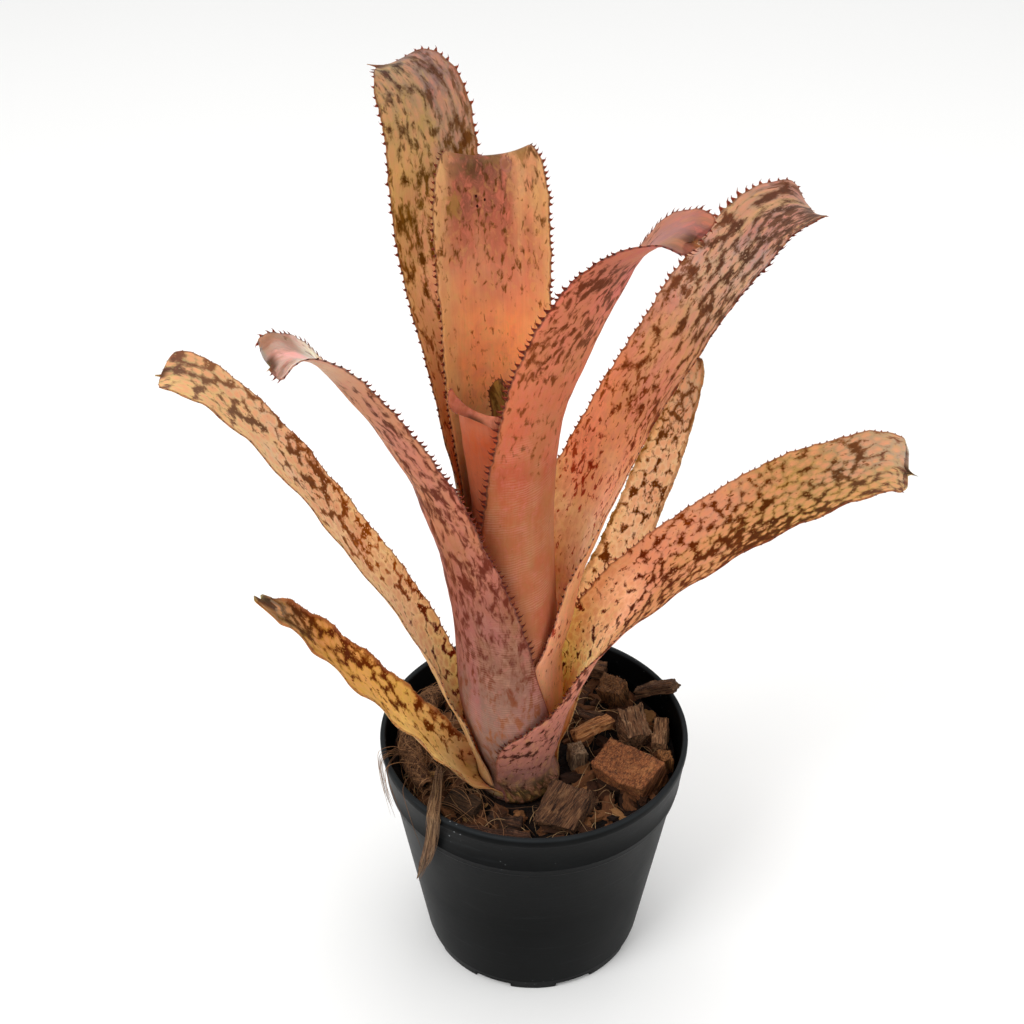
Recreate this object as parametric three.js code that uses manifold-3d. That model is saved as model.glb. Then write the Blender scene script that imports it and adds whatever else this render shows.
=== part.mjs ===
import * as THREE from 'three';
import { mergeVertices } from 'three/addons/utils/BufferGeometryUtils.js';
import Module from 'manifold-3d';

// A potted kolan billbergia. Eleven spiny strap leaves are rolled round one another into an upright tube
// on a short stem, in bark chips in a black nursery pot. Millimetres, +Z up. The pot stands on z = 0 and
// its axis is the Z axis. The front, where the tube opens and the fibre strand hangs out, faces -Y.

// Driving sizes of the pot
const POT_HEIGHT = 128;
const RIM_RADIUS = 75;
const BAND_HEIGHT = 27;
const BAND_TAPER = 3.2;
const BAND_STEP = 1.6;
const FOOT_RADIUS = 53.6;
const FOOT_BEVEL = 1.6;
const HEEL_FLARE = 1.4;
const HEEL_HEIGHT = 7;
const POT_WALL = 1.5;
const FLOOR_THICKNESS = 2;
const POT_SIDES = 40;

// Air notches under the foot, each with a drain hole
const NOTCH_COUNT = 8;
const NOTCH_WIDTH = 19;
const NOTCH_HEIGHT = 3.4;
const NOTCH_DEPTH = 20;
const DRAIN_RADIUS = 4;
const DRAIN_INSET = 9;
const DRAIN_SIDES = 10;

// Driving sizes of the filling
const MIX_TOP = 110.4;
const MIX_TOP_RADIUS = 69.3;
const MIX_RELIEF = 1.6;
const MIX_LOW_RADIUS = 20;
const MIX_LOW_FADE = 12;
const MIX_WALL_GAP = 0.85;
const MIX_LEVELS = [60, 98];
const MIX_RINGS = 6;
const MIX_SECTORS = 24;
const MIX_SEED = 71;
const SEAT_GAP = 0.35;
const SMALL_CHIPS = 16;
const SMALL_CHIP_REACH = 61;
const STEM_CLEARING = 29;
const CHIP_SEED = 200;

// Driving sizes of the fibre
const WAD_START = 134;
const WAD_END = 209;
const WAD_RADIUS = 60;
const WAD_HEIGHT = 119.8;
const WAD_FLOOR = 112.8;
const WAD_CORE = 5.2;
const WAD_LOOP = 3.6;
const WAD_SECTIONS = 9;
const WAD_SIDES = 8;
const WAD_SEED = 33;
const FIBRE_THICKNESS = 1.8;
const FIBRE_COUNT = 6;
const STRAND_THICKNESS = 1.6;

// The plant's place in the pot, and its lean to the left
const PLANT_BASE = [-8, -14, 112.6];
const PLANT_LEAN = 0.04;

// The sheaths nest in rings: each further ring out is wider, and all of them swell above the soil
const RING_RADIUS = 6.4;
const RING_STEP = 1.45;
const SWELL_RADIUS = 7.2;
const SWELL_STEP = 0.45;
const SWELL_PITCH = 14;
const SWELL_STEPS = 4;
const TUBE_PITCH = 36;
const SHEATH_GAP = 0.45;
const OUTER_RING_ON_STEM = 9;

// The stem: a cone under the sheaths and a root stock in a plain hole of the filling
const STEM_SLOPE = 2.386;
const STEM_DEPTH = 26;
const STEM_CHAMFER = 5;
const STEM_BUD = 6;
const STEM_FLARE = 1.2;
const STEM_SIDES = 16;
const HOLE_RADIUS = 14.6;
const HOLE_SIDES = 24;

// Driving sizes of the leaf blades and their spines
const BLADE_THICKNESS = 1.0;
const MARGIN_THICKNESS = 0.75;
const SHEATH_COLUMNS = 12;
const BLADE_COLUMNS = 6;
const SPINE_LENGTH = 2.2;
const SPINE_BASE = 2.6;
const SPINE_PITCH = 9;
const SPINE_HOOK = 0.45;
const TIP_POWER = 2.5;

const DEGREE = Math.PI / 180;
const WELD = 1e-4;

// Each leaf: ring in the nest, azimuth seen from above (0 is +X, 270 the front), wrap of the sheath as
// [height, degrees], then the blade as [out, height, width, wrap degrees, roll degrees, sideways], and
// the length over which the tip rounds off, the length of its end spine and the wave of its margins.
const LEAVES = {
  leaf_dying_front_left: {
    ring: 9, azimuth: 197, color: 0xc29a45,
    sheath: [[1, 105], [5, 100]],
    blade: [[26, 9, 36, 95, -6, 0], [33, 19, 35, 78, -10, 0], [43, 36, 35, 68, -12, 0],
      [53, 52, 34, 62, -12, 0], [63, 68, 33, 58, -12, 0], [74, 85, 31, 54, -12, 0],
      [84, 101, 28, 50, -12, 0], [93, 115, 23, 45, -12, 0], [101, 126, 17, 40, -12, 0],
      [107, 133, 10, 30, -12, 0]],
    tip: 7, mucro: 2, wave: 1.6,
  },
  leaf_slim_back_right: {
    ring: 9, azimuth: 48, color: 0xc78a5c,
    sheath: [[1, 80], [14, 72]],
    blade: [[27, 26, 36, 85, 0, 0], [37, 38, 32, 80, 0, 0], [49, 52, 29, 78, 0, 0], [64, 67, 28, 75, 0, 0],
      [79, 82, 27, 70, 0, 0], [93, 98, 26, 65, 0, 0], [106, 115, 25, 60, 0, 0], [117, 131, 23, 55, 0, 0],
      [128, 148, 19, 50, 0, 0], [134, 159, 15, 45, 0, 0], [139, 169, 10, 40, 0, 0]],
    tip: 8, mucro: 2.5, wave: 0,
  },
  leaf_left: {
    ring: 8, azimuth: 178, color: 0xcf9a6c,
    sheath: [[4, 112], [25, 84], [42, 82]],
    blade: [[33, 58, 38, 78, 0, 0], [40, 80, 37, 72, 0, 0], [51, 107, 36, 64, 0, 0],
      [61, 126, 36, 58, 0, 0], [72, 146, 36, 54, 0, 0], [82, 165, 35, 50, 0, 0], [92, 182, 35, 46, 0, 0],
      [103, 199, 34, 42, 0, 0], [113, 212, 33, 38, 0, 0], [123, 222, 32, 35, 0, 0],
      [132, 227, 30, 34, 0, 0], [140, 227, 27, 34, 0, 0]],
    tip: 16, mucro: 3, wave: 0.5,
  },
  leaf_right: {
    ring: 7, azimuth: 355, color: 0xcd8a63,
    sheath: [[7, 238], [28, 216], [42, 180]],
    blade: [[31, 58, 56, 116, 4, 0], [38, 76, 52, 104, 8, 0], [47, 93, 49, 92, 10, 0],
      [60, 110, 48, 82, 12, 0], [74, 125, 47, 74, 12, 0], [89, 139, 46, 66, 12, 0],
      [104, 151.5, 45, 60, 12, 0], [118, 162, 44, 54, 12, 0], [131, 170, 43, 48, 12, 0],
      [143, 176, 41, 44, 10, 0], [154, 181, 39, 40, 10, 0], [164, 183, 36, 38, 10, 0],
      [171, 180, 33, 36, 10, 0]],
    tip: 10, mucro: 4, wave: 0.5,
  },
  leaf_front_left: {
    ring: 6, azimuth: 220, color: 0xa06a5c,
    sheath: [[10, 250], [42, 200], [66, 165], [96, 142]],
    blade: [[27, 120, 54, 118, 0, 0], [30, 140, 48, 98, 0, 0], [35, 160, 43, 84, 0, 0],
      [41, 182, 41, 78, 0, 0], [50, 203, 38, 76, 0, 0], [59, 222, 37, 74, 0, 0], [68, 238, 36, 72, 0, 0],
      [76, 252, 35, 68, 0, 0], [84, 264, 33, 64, 0, 0], [92, 272, 31, 60, 0, 0], [99, 275, 28, 55, 0, 0],
      [105, 271, 26, 50, 0, 0]],
    tip: 16, mucro: 4, wave: 0,
  },
  leaf_back_right: {
    ring: 5, azimuth: 30, color: 0xc97f5e,
    sheath: [[14, 285], [42, 245], [78, 195]],
    blade: [[30, 98, 70, 168, 0, 0], [34, 115, 64, 152, 0, 0], [42, 134, 57, 124, 0, 0],
      [53, 154, 51, 102, 0, 0], [64, 174, 47, 90, 0, 0], [76, 192, 45, 80, 0, 0], [89, 208, 44, 72, 0, 0],
      [101, 223, 44, 65, 0, 0], [113, 236, 44, 58, 0, 0], [126, 248, 45, 52, 0, 0],
      [138, 257, 45, 48, 0, 0], [149, 260.5, 43, 44, 0, 0], [158, 258, 40, 42, 0, 0]],
    tip: 18, mucro: 4, wave: 0,
  },
  leaf_front_centre: {
    ring: 4, azimuth: 325, color: 0xb8795f,
    sheath: [[17, 290], [90, 210], [150, 168]],
    blade: [[22.5, 172, 58, 142, 0, 0], [24, 190, 55, 126, 0, 0], [28, 210, 54, 110, 0, 0],
      [35, 231, 55, 100, -5, 0], [43, 251, 54, 91, -7, 0], [52, 270, 53, 83, -7, 0],
      [61, 287, 50, 76, -5, 0], [70, 299, 46, 70, -3, 0], [79, 307, 41, 62, -1, 0],
      [87, 311, 36, 56, 0, 0], [93, 310, 31, 50, 0, 0]],
    tip: 16, mucro: 4, wave: 0,
  },
  leaf_tall_back_left: {
    ring: 3, azimuth: 106, color: 0xb98a5d,
    sheath: [[20, 290], [110, 240], [165, 210]],
    blade: [[25.5, 184, 59, 163, 0, 0.5], [29, 204, 50, 132, 0, 3], [36, 226, 44, 104, 0, 6],
      [46, 250, 41, 84, 0, 9], [53, 270, 40, 74, 0, 10], [59, 287, 40, 66, 0, 9], [64, 302, 40, 60, 0, 8],
      [69, 315, 39, 54, 0, 8], [75, 324, 37, 48, 0, 11], [82, 329, 32, 44, 0, 16],
      [88, 329, 25, 42, 0, 21]],
    tip: 14, mucro: 4, wave: 0,
  },
  leaf_upright_back: {
    ring: 2, azimuth: 92, color: 0xd08a60,
    sheath: [[23, 300], [110, 250], [160, 175]],
    blade: [[17.8, 182, 52, 155, 0, 0], [18.5, 200, 51, 124, 0, 0], [20.5, 220, 50, 102, 0, 0],
      [23.5, 240, 50, 86, 0, -1], [27, 259, 50, 72, 0, -1], [31, 276, 50, 62, 0, -1],
      [36, 290, 48, 54, 0, -1.5], [42, 299, 44, 48, 0, -1], [48, 301, 38, 44, 0, 0],
      [53, 297, 32, 42, 0, 0]],
    tip: 14, mucro: 3, wave: 0,
  },
  leaf_inner_folded: {
    ring: 1, azimuth: 20, color: 0x8e6a3c,
    sheath: [[27, 300], [110, 250], [165, 180]],
    blade: [[15, 182, 38, 150, 0, 0], [16, 196, 30, 140, 0, 0], [17, 208, 20, 120, 0, 0]],
    tip: 12, mucro: 3, wave: 0,
  },
  leaf_heart: {
    ring: 0, azimuth: 250, color: 0xc9796a,
    sheath: [[30, 300], [110, 260], [165, 190]],
    blade: [[13, 185, 34, 150, 0, 0], [14, 200, 30, 130, 0, -1], [16, 212, 27, 110, 0, -2],
      [22, 219, 25, 90, 0, -2], [29, 216, 21, 80, 0, -2]],
    tip: 9, mucro: 3, wave: 0,
  },
};

const wasm = await Module();
wasm.setup();

// Closed geometry to solid and back, for cuts and joins
function toSolid(geometry) {
  const bare = geometry.clone();
  bare.deleteAttribute('normal');
  bare.deleteAttribute('uv');
  const merged = mergeVertices(bare, WELD);
  return new wasm.Manifold(new wasm.Mesh({
    numProp: 3,
    vertProperties: Float32Array.from(merged.attributes.position.array),
    triVerts: Uint32Array.from(merged.index.array),
  }));
}

function toGeometry(solid) {
  const mesh = solid.getMesh();
  const geometry = new THREE.BufferGeometry();
  geometry.setAttribute('position', new THREE.BufferAttribute(mesh.vertProperties, 3));
  geometry.setIndex(new THREE.BufferAttribute(mesh.triVerts, 1));
  geometry.computeVertexNormals();
  return geometry;
}

function largestBody(solid) {
  return solid.decompose().sort((a, b) => b.volume() - a.volume())[0];
}

function meshFrom(points, triangles) {
  const geometry = new THREE.BufferGeometry();
  geometry.setAttribute('position', new THREE.Float32BufferAttribute(points.flat(), 3));
  geometry.setIndex(triangles.flat());
  geometry.computeVertexNormals();
  return geometry;
}

function named(name, geometry, color, roughness) {
  const material = new THREE.MeshStandardMaterial({ color, roughness, metalness: 0 });
  const mesh = new THREE.Mesh(geometry, material);
  mesh.name = name;
  return mesh;
}

// Seeded draws, so that every build gives the same model
function draws(seed) {
  let state = seed;
  return (low, high) => {
    state = (state * 1664525 + 1013904223) % 4294967296;
    return low + (high - low) * state / 4294967296;
  };
}

function smooth(t) {
  const x = Math.min(1, Math.max(0, t));
  return x * x * (3 - 2 * x);
}

function between(pairs, x) {
  if (x <= pairs[0][0]) return pairs[0][1];
  for (let i = 1; i < pairs.length; i += 1) {
    const [x0, y0] = pairs[i - 1];
    const [x1, y1] = pairs[i];
    if (x <= x1) return y0 + (y1 - y0) * (x - x0) / (x1 - x0);
  }
  return pairs[pairs.length - 1][1];
}

// Radius of a sheath ring at a height above the soil, in straight stretches between like heights, so
// that the rings stay nested
function ringRadius(ring, height) {
  const step = Math.min(SWELL_STEPS - 1, Math.floor(height / SWELL_PITCH));
  const low = smooth(step / SWELL_STEPS);
  const high = smooth((step + 1) / SWELL_STEPS);
  const swell = low + (high - low) * Math.min(1, height / SWELL_PITCH - step);
  return RING_RADIUS + RING_STEP * ring + swell * (SWELL_RADIUS + SWELL_STEP * ring);
}

// Height at which a ring grows from the short cone of the stem
function ringFoot(ring) {
  return 1 + Math.max(0, OUTER_RING_ON_STEM - ring) * RING_STEP * STEM_SLOPE;
}

// Uniform Catmull-Rom through rows of numbers
function spline(rows, t) {
  const last = rows.length - 1;
  const i = Math.min(last - 1, Math.max(0, Math.floor(t)));
  const f = t - i;
  const p0 = rows[Math.max(0, i - 1)];
  const p1 = rows[i];
  const p2 = rows[i + 1];
  const p3 = rows[Math.min(last, i + 2)];
  return p1.map((value, k) => 0.5 * (2 * value + (p2[k] - p0[k]) * f
    + (2 * p0[k] - 5 * value + 4 * p2[k] - p3[k]) * f * f
    + (3 * value - p0[k] - 3 * p2[k] + p3[k]) * f * f * f));
}

// The leaf's course as rows of [out, height, width, wrap, roll, sideways, blade share]
function leafCourse(leaf) {
  const foot = ringFoot(leaf.ring);
  const top = leaf.sheath[leaf.sheath.length - 1][0];
  const heights = [foot];
  for (let step = 1; step <= SWELL_STEPS; step += 1) {
    const height = step * SWELL_PITCH;
    if (height > foot + 3 && height < top - 3) heights.push(height);
  }
  const steps = Math.ceil((top - heights[heights.length - 1]) / TUBE_PITCH);
  const from = heights[heights.length - 1];
  for (let i = 1; i <= steps; i += 1) heights.push(from + (top - from) * i / steps);
  const rows = [];
  for (const height of heights) {
    const radius = ringRadius(leaf.ring, height);
    const wrap = between(leaf.sheath, height) * DEGREE;
    rows.push([radius, height, radius * wrap, wrap, 0, 0, 0]);
  }
  leaf.blade.forEach(([out, height, width, wrap, roll, sideways], i) => {
    rows.push([out, height, width, wrap * DEGREE, roll * DEGREE, sideways, Math.min(1, (i + 1) / 2)]);
  });
  return { rows, sheathRows: heights.length - 1 };
}

// Cross-sections from the foot of the leaf to its tip
function leafSections(leaf) {
  const { rows, sheathRows } = leafCourse(leaf);
  const last = rows.length - 1;
  const stations = [];
  for (let i = 0; i < last; i += 1) {
    stations.push(i);
    if (i > sheathRows) stations.push(i + 0.5);
  }
  stations.push(last - 0.25, last - 0.1, last - 0.02);
  const outward = new THREE.Vector3(Math.cos(leaf.azimuth * DEGREE), Math.sin(leaf.azimuth * DEGREE), 0);
  const side = new THREE.Vector3(-outward.y, outward.x, 0);
  const up = new THREE.Vector3(0, 0, 1);
  const place = (t) => {
    const row = spline(rows, t);
    return new THREE.Vector3().addScaledVector(outward, row[0]).addScaledVector(up, row[1])
      .addScaledVector(side, row[5]);
  };
  const end = place(last);
  return stations.sort((a, b) => a - b).map((t) => {
    const row = spline(rows, t);
    const centre = place(t);
    const tangent = place(Math.min(last, t + 0.02)).sub(place(Math.max(0, t - 0.02))).normalize();
    const across = side.clone().addScaledVector(tangent, -side.dot(tangent)).normalize();
    const inner = new THREE.Vector3().crossVectors(tangent, across);
    const share = smooth(row[6]);
    inner.multiplyScalar(share).addScaledVector(outward, share - 1).normalize();
    across.applyAxisAngle(tangent, row[4]);
    inner.applyAxisAngle(tangent, row[4]);
    const left = Math.min(1, centre.distanceTo(end) / leaf.tip);
    const taper = t > last - 2 ? Math.pow(1 - Math.pow(1 - left, TIP_POWER), 1 / TIP_POWER) : 1;
    return {
      t, centre, tangent, across, inner,
      width: row[2] * taper,
      radius: row[2] / row[3],
      columns: t <= sheathRows ? SHEATH_COLUMNS : BLADE_COLUMNS,
      inBlade: t > sheathRows,
    };
  });
}

// A point of a section: place -0.5 to 0.5 across the leaf, lifted to its inner or outer face
function sectionPoint(section, place, wave, faceSign) {
  const angle = place * section.width / section.radius;
  const normal = section.inner.clone().multiplyScalar(Math.cos(angle))
    .addScaledVector(section.across, -Math.sin(angle));
  const edge = Math.abs(place) * 2;
  const thickness = BLADE_THICKNESS + (MARGIN_THICKNESS - BLADE_THICKNESS) * edge * edge;
  const lift = faceSign * thickness / 2 + wave * edge ** 3 * Math.sin(section.t * 4 + (place > 0 ? 1 : 0));
  return section.centre.clone()
    .addScaledVector(section.across, section.radius * Math.sin(angle))
    .addScaledVector(section.inner, section.radius * (1 - Math.cos(angle)))
    .addScaledVector(normal, lift);
}

// One leaf as a closed solid: two like faces and a wall round the margin that carries the spines
function leafGeometry(leaf) {
  const sections = leafSections(leaf);
  const points = [];
  const faces = [];
  const spines = new Map();
  const add = (inner, outer) => {
    points.push(inner.toArray(), outer.toArray());
    return points.length - 2;
  };
  const grid = sections.map((section) => {
    const row = [];
    for (let j = 0; j <= section.columns; j += 1) {
      const place = j / section.columns - 0.5;
      const wave = section.inBlade ? leaf.wave : 0;
      row.push(add(sectionPoint(section, place, wave, 1), sectionPoint(section, place, wave, -1)));
    }
    return row;
  });
  const vectorAt = (id) => new THREE.Vector3().fromArray(points[id]);
  const addBetween = (a, b, share) => {
    const inner = vectorAt(a).lerp(vectorAt(b), share);
    return add(inner, vectorAt(a + 1).lerp(vectorAt(b + 1), share));
  };

  // The margin of one cell, cut at the feet of its spines
  const marginChain = (i, from, to, sign) => {
    const length = vectorAt(from).distanceTo(vectorAt(to));
    const count = length < SPINE_BASE * 1.4 ? 0 : Math.max(1, Math.round(length / SPINE_PITCH));
    const chain = [from];
    for (let n = 0; n < count; n += 1) {
      const middle = (n + 0.5) / count;
      const half = SPINE_BASE / 2 / length;
      const foot = addBetween(from, to, middle - half);
      const head = addBetween(from, to, middle + half);
      chain.push(foot, head);
      const section = sections[i];
      const angle = sign * section.width / section.radius / 2;
      const away = section.across.clone().multiplyScalar(Math.cos(angle))
        .addScaledVector(section.inner, Math.sin(angle)).multiplyScalar(sign);
      const apex = vectorAt(foot).add(vectorAt(foot + 1)).add(vectorAt(head)).add(vectorAt(head + 1))
        .multiplyScalar(0.25).addScaledVector(away, SPINE_LENGTH)
        .addScaledVector(section.tangent, SPINE_LENGTH * SPINE_HOOK);
      spines.set(`${Math.min(foot, head)} ${Math.max(foot, head)}`, apex);
    }
    chain.push(to);
    return chain;
  };

  const cell = (i, j) => {
    const [a, b, c, d] = [grid[i][j], grid[i][j + 1], grid[i + 1][j + 1], grid[i + 1][j]];
    const columns = sections[i].columns;
    const spiny = sections[i].inBlade;
    if (spiny && j === 0) {
      const chain = marginChain(i, a, d, -1);
      const half = Math.floor(chain.length / 2);
      for (let k = 0; k + 1 < chain.length; k += 1) faces.push([chain[k], chain[k + 1], k < half ? b : c]);
      faces.push([b, chain[half], c]);
    } else if (spiny && j === columns - 1) {
      const chain = marginChain(i, b, c, 1);
      const half = Math.floor(chain.length / 2);
      for (let k = 0; k + 1 < chain.length; k += 1) faces.push([chain[k], k < half ? a : d, chain[k + 1]]);
      faces.push([a, d, chain[half]]);
    } else {
      faces.push([a, d, b], [b, d, c]);
    }
  };

  for (let i = 0; i + 1 < sections.length; i += 1) {
    if (sections[i].columns === sections[i + 1].columns) {
      for (let j = 0; j < sections[i].columns; j += 1) cell(i, j);
    } else {
      for (let j = 0; j < BLADE_COLUMNS; j += 1) {
        const [a0, a1, a2] = grid[i].slice(2 * j, 2 * j + 3);
        const [b0, b1] = grid[i + 1].slice(j, j + 2);
        faces.push([a0, b0, a1], [a1, b0, b1], [a1, b1, a2]);
      }
    }
  }
  const endSection = sections[sections.length - 1];
  const endRow = grid[grid.length - 1];
  const point = endSection.centre.clone().addScaledVector(endSection.tangent, leaf.mucro);
  const half = MARGIN_THICKNESS / 2;
  const pointId = add(point.clone().addScaledVector(endSection.inner, half),
    point.clone().addScaledVector(endSection.inner, -half));
  for (let j = 0; j + 1 < endRow.length; j += 1) faces.push([endRow[j], pointId, endRow[j + 1]]);

  // Inner face, outer face, and the wall round them
  const triangles = [];
  const open = new Map();
  for (const [a, b, c] of faces) {
    triangles.push([a, b, c], [a + 1, c + 1, b + 1]);
    for (const [p, q] of [[a, b], [b, c], [c, a]]) {
      if (open.has(`${q} ${p}`)) open.delete(`${q} ${p}`);
      else open.set(`${p} ${q}`, [p, q]);
    }
  }
  for (const [p, q] of open.values()) {
    const apex = spines.get(`${Math.min(p, q)} ${Math.max(p, q)}`);
    if (apex) {
      points.push(apex.toArray());
      const top = points.length - 1;
      triangles.push([q, p, top], [p, p + 1, top], [p + 1, q + 1, top], [q + 1, q, top]);
    } else {
      triangles.push([q, p, p + 1], [q, p + 1, q + 1]);
    }
  }
  return meshFrom(points, triangles);
}

function lathe(profile, sides) {
  const points = profile.map(([radius, height]) => new THREE.Vector2(radius, height));
  return new THREE.LatheGeometry(points, sides).rotateX(Math.PI / 2);
}

// The short cone of stem that every sheath grows from, down through the filling
function stemGeometry() {
  const root = HOLE_RADIUS - 2 * SEAT_GAP;
  const profile = [[0, -STEM_DEPTH], [root - STEM_CHAMFER, -STEM_DEPTH], [root, STEM_CHAMFER - STEM_DEPTH],
    [root, -STEM_FLARE]];
  for (let ring = OUTER_RING_ON_STEM; ring >= 0; ring -= 1) {
    const height = ringFoot(ring);
    profile.push([ringRadius(ring, height) - BLADE_THICKNESS / 2 - SHEATH_GAP, height]);
  }
  const bud = ringFoot(0) + STEM_BUD;
  profile.push([1.2, bud], [0, bud]);
  return lathe(profile, STEM_SIDES);
}

// Outside of the pot from its flat base up to the lip
const BAND_FOOT = POT_HEIGHT - BAND_HEIGHT;
const BODY_TOP_RADIUS = RIM_RADIUS - BAND_TAPER - BAND_STEP;
const POT_OUTSIDE = [
  [0, 0], [FOOT_RADIUS - FOOT_BEVEL, 0], [FOOT_RADIUS, FOOT_BEVEL], [FOOT_RADIUS + HEEL_FLARE, HEEL_HEIGHT],
  [BODY_TOP_RADIUS, BAND_FOOT - 0.6], [RIM_RADIUS - BAND_TAPER, BAND_FOOT + 0.6],
  [RIM_RADIUS - 0.2, POT_HEIGHT - 2.2], [RIM_RADIUS, POT_HEIGHT - 1.6], [RIM_RADIUS - 0.5, POT_HEIGHT],
];
const BODY_TOP_INSIDE = BODY_TOP_RADIUS - POT_WALL;
const HEEL_INSIDE = FOOT_RADIUS + HEEL_FLARE - POT_WALL;

function potGeometry() {
  const inside = [
    [RIM_RADIUS - 2.4, POT_HEIGHT], [RIM_RADIUS - 3.0, POT_HEIGHT - 2], [BODY_TOP_INSIDE + 2, BAND_FOOT + 2],
    [BODY_TOP_INSIDE, BAND_FOOT - 2], [HEEL_INSIDE, HEEL_HEIGHT],
    [HEEL_INSIDE - 3, FLOOR_THICKNESS], [0, FLOOR_THICKNESS],
  ];
  let pot = toSolid(lathe([...POT_OUTSIDE, ...inside], POT_SIDES));
  const body = toSolid(lathe([...POT_OUTSIDE, [0, POT_HEIGHT]], POT_SIDES));
  const middle = FOOT_RADIUS + 2 - NOTCH_DEPTH / 2;
  for (let i = 0; i < NOTCH_COUNT; i += 1) {
    const angle = (i + 0.5) / NOTCH_COUNT * 2 * Math.PI;
    const roofHeight = 2 * (NOTCH_HEIGHT + POT_WALL);
    const roof = new THREE.BoxGeometry(NOTCH_DEPTH + 4, NOTCH_WIDTH + 2 * POT_WALL, roofHeight)
      .translate(middle, 0, 0).rotateZ(angle);
    const hollow = new THREE.BoxGeometry(NOTCH_DEPTH + 8, NOTCH_WIDTH, 2 * NOTCH_HEIGHT)
      .translate(middle + 4 + POT_WALL, 0, 0).rotateZ(angle);
    const drain = new THREE.CylinderGeometry(DRAIN_RADIUS, DRAIN_RADIUS, 4 * NOTCH_HEIGHT, DRAIN_SIDES)
      .rotateX(Math.PI / 2).translate(FOOT_RADIUS - DRAIN_INSET, 0, 0).rotateZ(angle);
    pot = pot.add(toSolid(roof).intersect(body)).subtract(toSolid(hollow)).subtract(toSolid(drain));
  }
  return toGeometry(pot);
}

// Bark chips: place of the middle, size, turns about x, y and z in degrees, how far the corners stray
const CHIPS = {
  chip_cinnamon_block: {
    at: [47, -19.5, 115.5], size: [30, 19, 19], turn: [12, 0, -38], stray: 2.0, color: 0x8a5a38,
  },
  chip_grey_block: {
    at: [14.5, -42, 114.5], size: [22, 23, 13], turn: [20, 0, -24], stray: 1.6, color: 0x5e4f44,
  },
  chip_small_grey: {
    at: [21, -6.5, 115], size: [9, 9, 15], turn: [8, 0, 24], stray: 1.4, color: 0x6f6156,
  },
  chip_lobed_left: {
    at: [49.5, 11, 115.5], size: [16, 18, 14], turn: [10, 0, 18], stray: 2.6, color: 0x5d4a3a,
  },
  chip_lobed_right: {
    at: [63, 7, 115.5], size: [8, 19, 11], turn: [6, 0, -8], stray: 1.0, color: 0x65503c,
  },
  chip_pale_splinter: {
    at: [29, 9.5, 119.5], size: [23, 7, 5.5], turn: [-8, 0, 30], stray: 1.0, color: 0xa27a4a,
  },
  chip_dark_splinter: {
    at: [25, 25, 113.5], size: [22, 8, 6], turn: [10, 0, -34], stray: 1.2, color: 0x4f3423,
  },
  chip_forked: {
    at: [42, 39, 117], size: [13, 11, 17], turn: [14, 0, -30], stray: 2.2, color: 0x7d5a38,
  },
  chip_rim_long: {
    at: [61, 28.5, 128.8], size: [24, 7, 5.5], turn: [-6, -32, -24], stray: 0.9, color: 0x5a4030,
  },
  chip_back_splinter: {
    at: [26, 59, 117.5], size: [26, 8, 7], turn: [4, 0, -22], stray: 1.4, color: 0x6b4a30,
  },
  chip_right_small: {
    at: [64, -9.5, 114.5], size: [7, 7, 12], turn: [10, 0, 12], stray: 0.9, color: 0x94683c,
  },
  chip_front_strip: {
    at: [-19, -58.5, 114.2], size: [34, 7.5, 5.5], turn: [-3, 0, -11], stray: 1.0, color: 0x5b3d2b,
  },
  chip_front_short: {
    at: [-14, -48, 113.6], size: [17, 6.5, 5], turn: [2, 0, -18], stray: 0.9, color: 0x54382a,
  },
  chip_left_front: {
    at: [-34, -38, 113.6], size: [18, 10, 7], turn: [4, 0, -34], stray: 1.4, color: 0x3f2b20,
  },
};

// A split block with straying corners; grow widens it all round for the seat that it lies in
function chipGeometry(chip, seed, grow, cuts) {
  const sides = chip.size.map((size) => size + 2 * grow);
  const box = new THREE.BoxGeometry(...sides, cuts, 1, 1);
  box.deleteAttribute('normal');
  box.deleteAttribute('uv');
  const merged = mergeVertices(box, WELD);
  const position = merged.attributes.position;
  const draw = draws(seed);
  for (let i = 0; i < position.count; i += 1) {
    const [x, y, z] = [position.getX(i), position.getY(i), position.getZ(i)];
    const stray = () => draw(-1, 1) * chip.stray;
    position.setXYZ(i, x + stray(), y + stray(), z + stray());
  }
  const [roll, pitch, yaw] = chip.turn.map((turn) => turn * DEGREE);
  return merged.rotateX(roll).rotateY(pitch).rotateZ(yaw).translate(...chip.at);
}

// Closed skin over rings of like points, each counterclockwise seen from the end, and a point at each end
function skin(rings, first, last) {
  const sides = rings[0].length;
  const points = [first, ...rings.flat(), last];
  const triangles = [];
  const at = (ring, j) => 1 + ring * sides + j % sides;
  for (let j = 0; j < sides; j += 1) {
    triangles.push([0, at(0, j + 1), at(0, j)]);
    triangles.push([points.length - 1, at(rings.length - 1, j), at(rings.length - 1, j + 1)]);
    for (let ring = 0; ring + 1 < rings.length; ring += 1) {
      triangles.push([at(ring, j), at(ring, j + 1), at(ring + 1, j)]);
      triangles.push([at(ring, j + 1), at(ring + 1, j + 1), at(ring + 1, j)]);
    }
  }
  return meshFrom(points, triangles);
}

function stemDistance(x, y) {
  return Math.hypot(x - PLANT_BASE[0], y - PLANT_BASE[1]);
}

// Rough surface of the filling, kept low round the stem
function mixHeight(x, y) {
  const waves = Math.sin(x * 0.31 + 1.3) * Math.cos(y * 0.27) + Math.sin(x * 0.13 - y * 0.22);
  const open = smooth((stemDistance(x, y) - MIX_LOW_RADIUS) / MIX_LOW_FADE);
  return MIX_TOP - MIX_RELIEF / 2 + open * (waves + 1.5) * MIX_RELIEF / 2;
}

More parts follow.
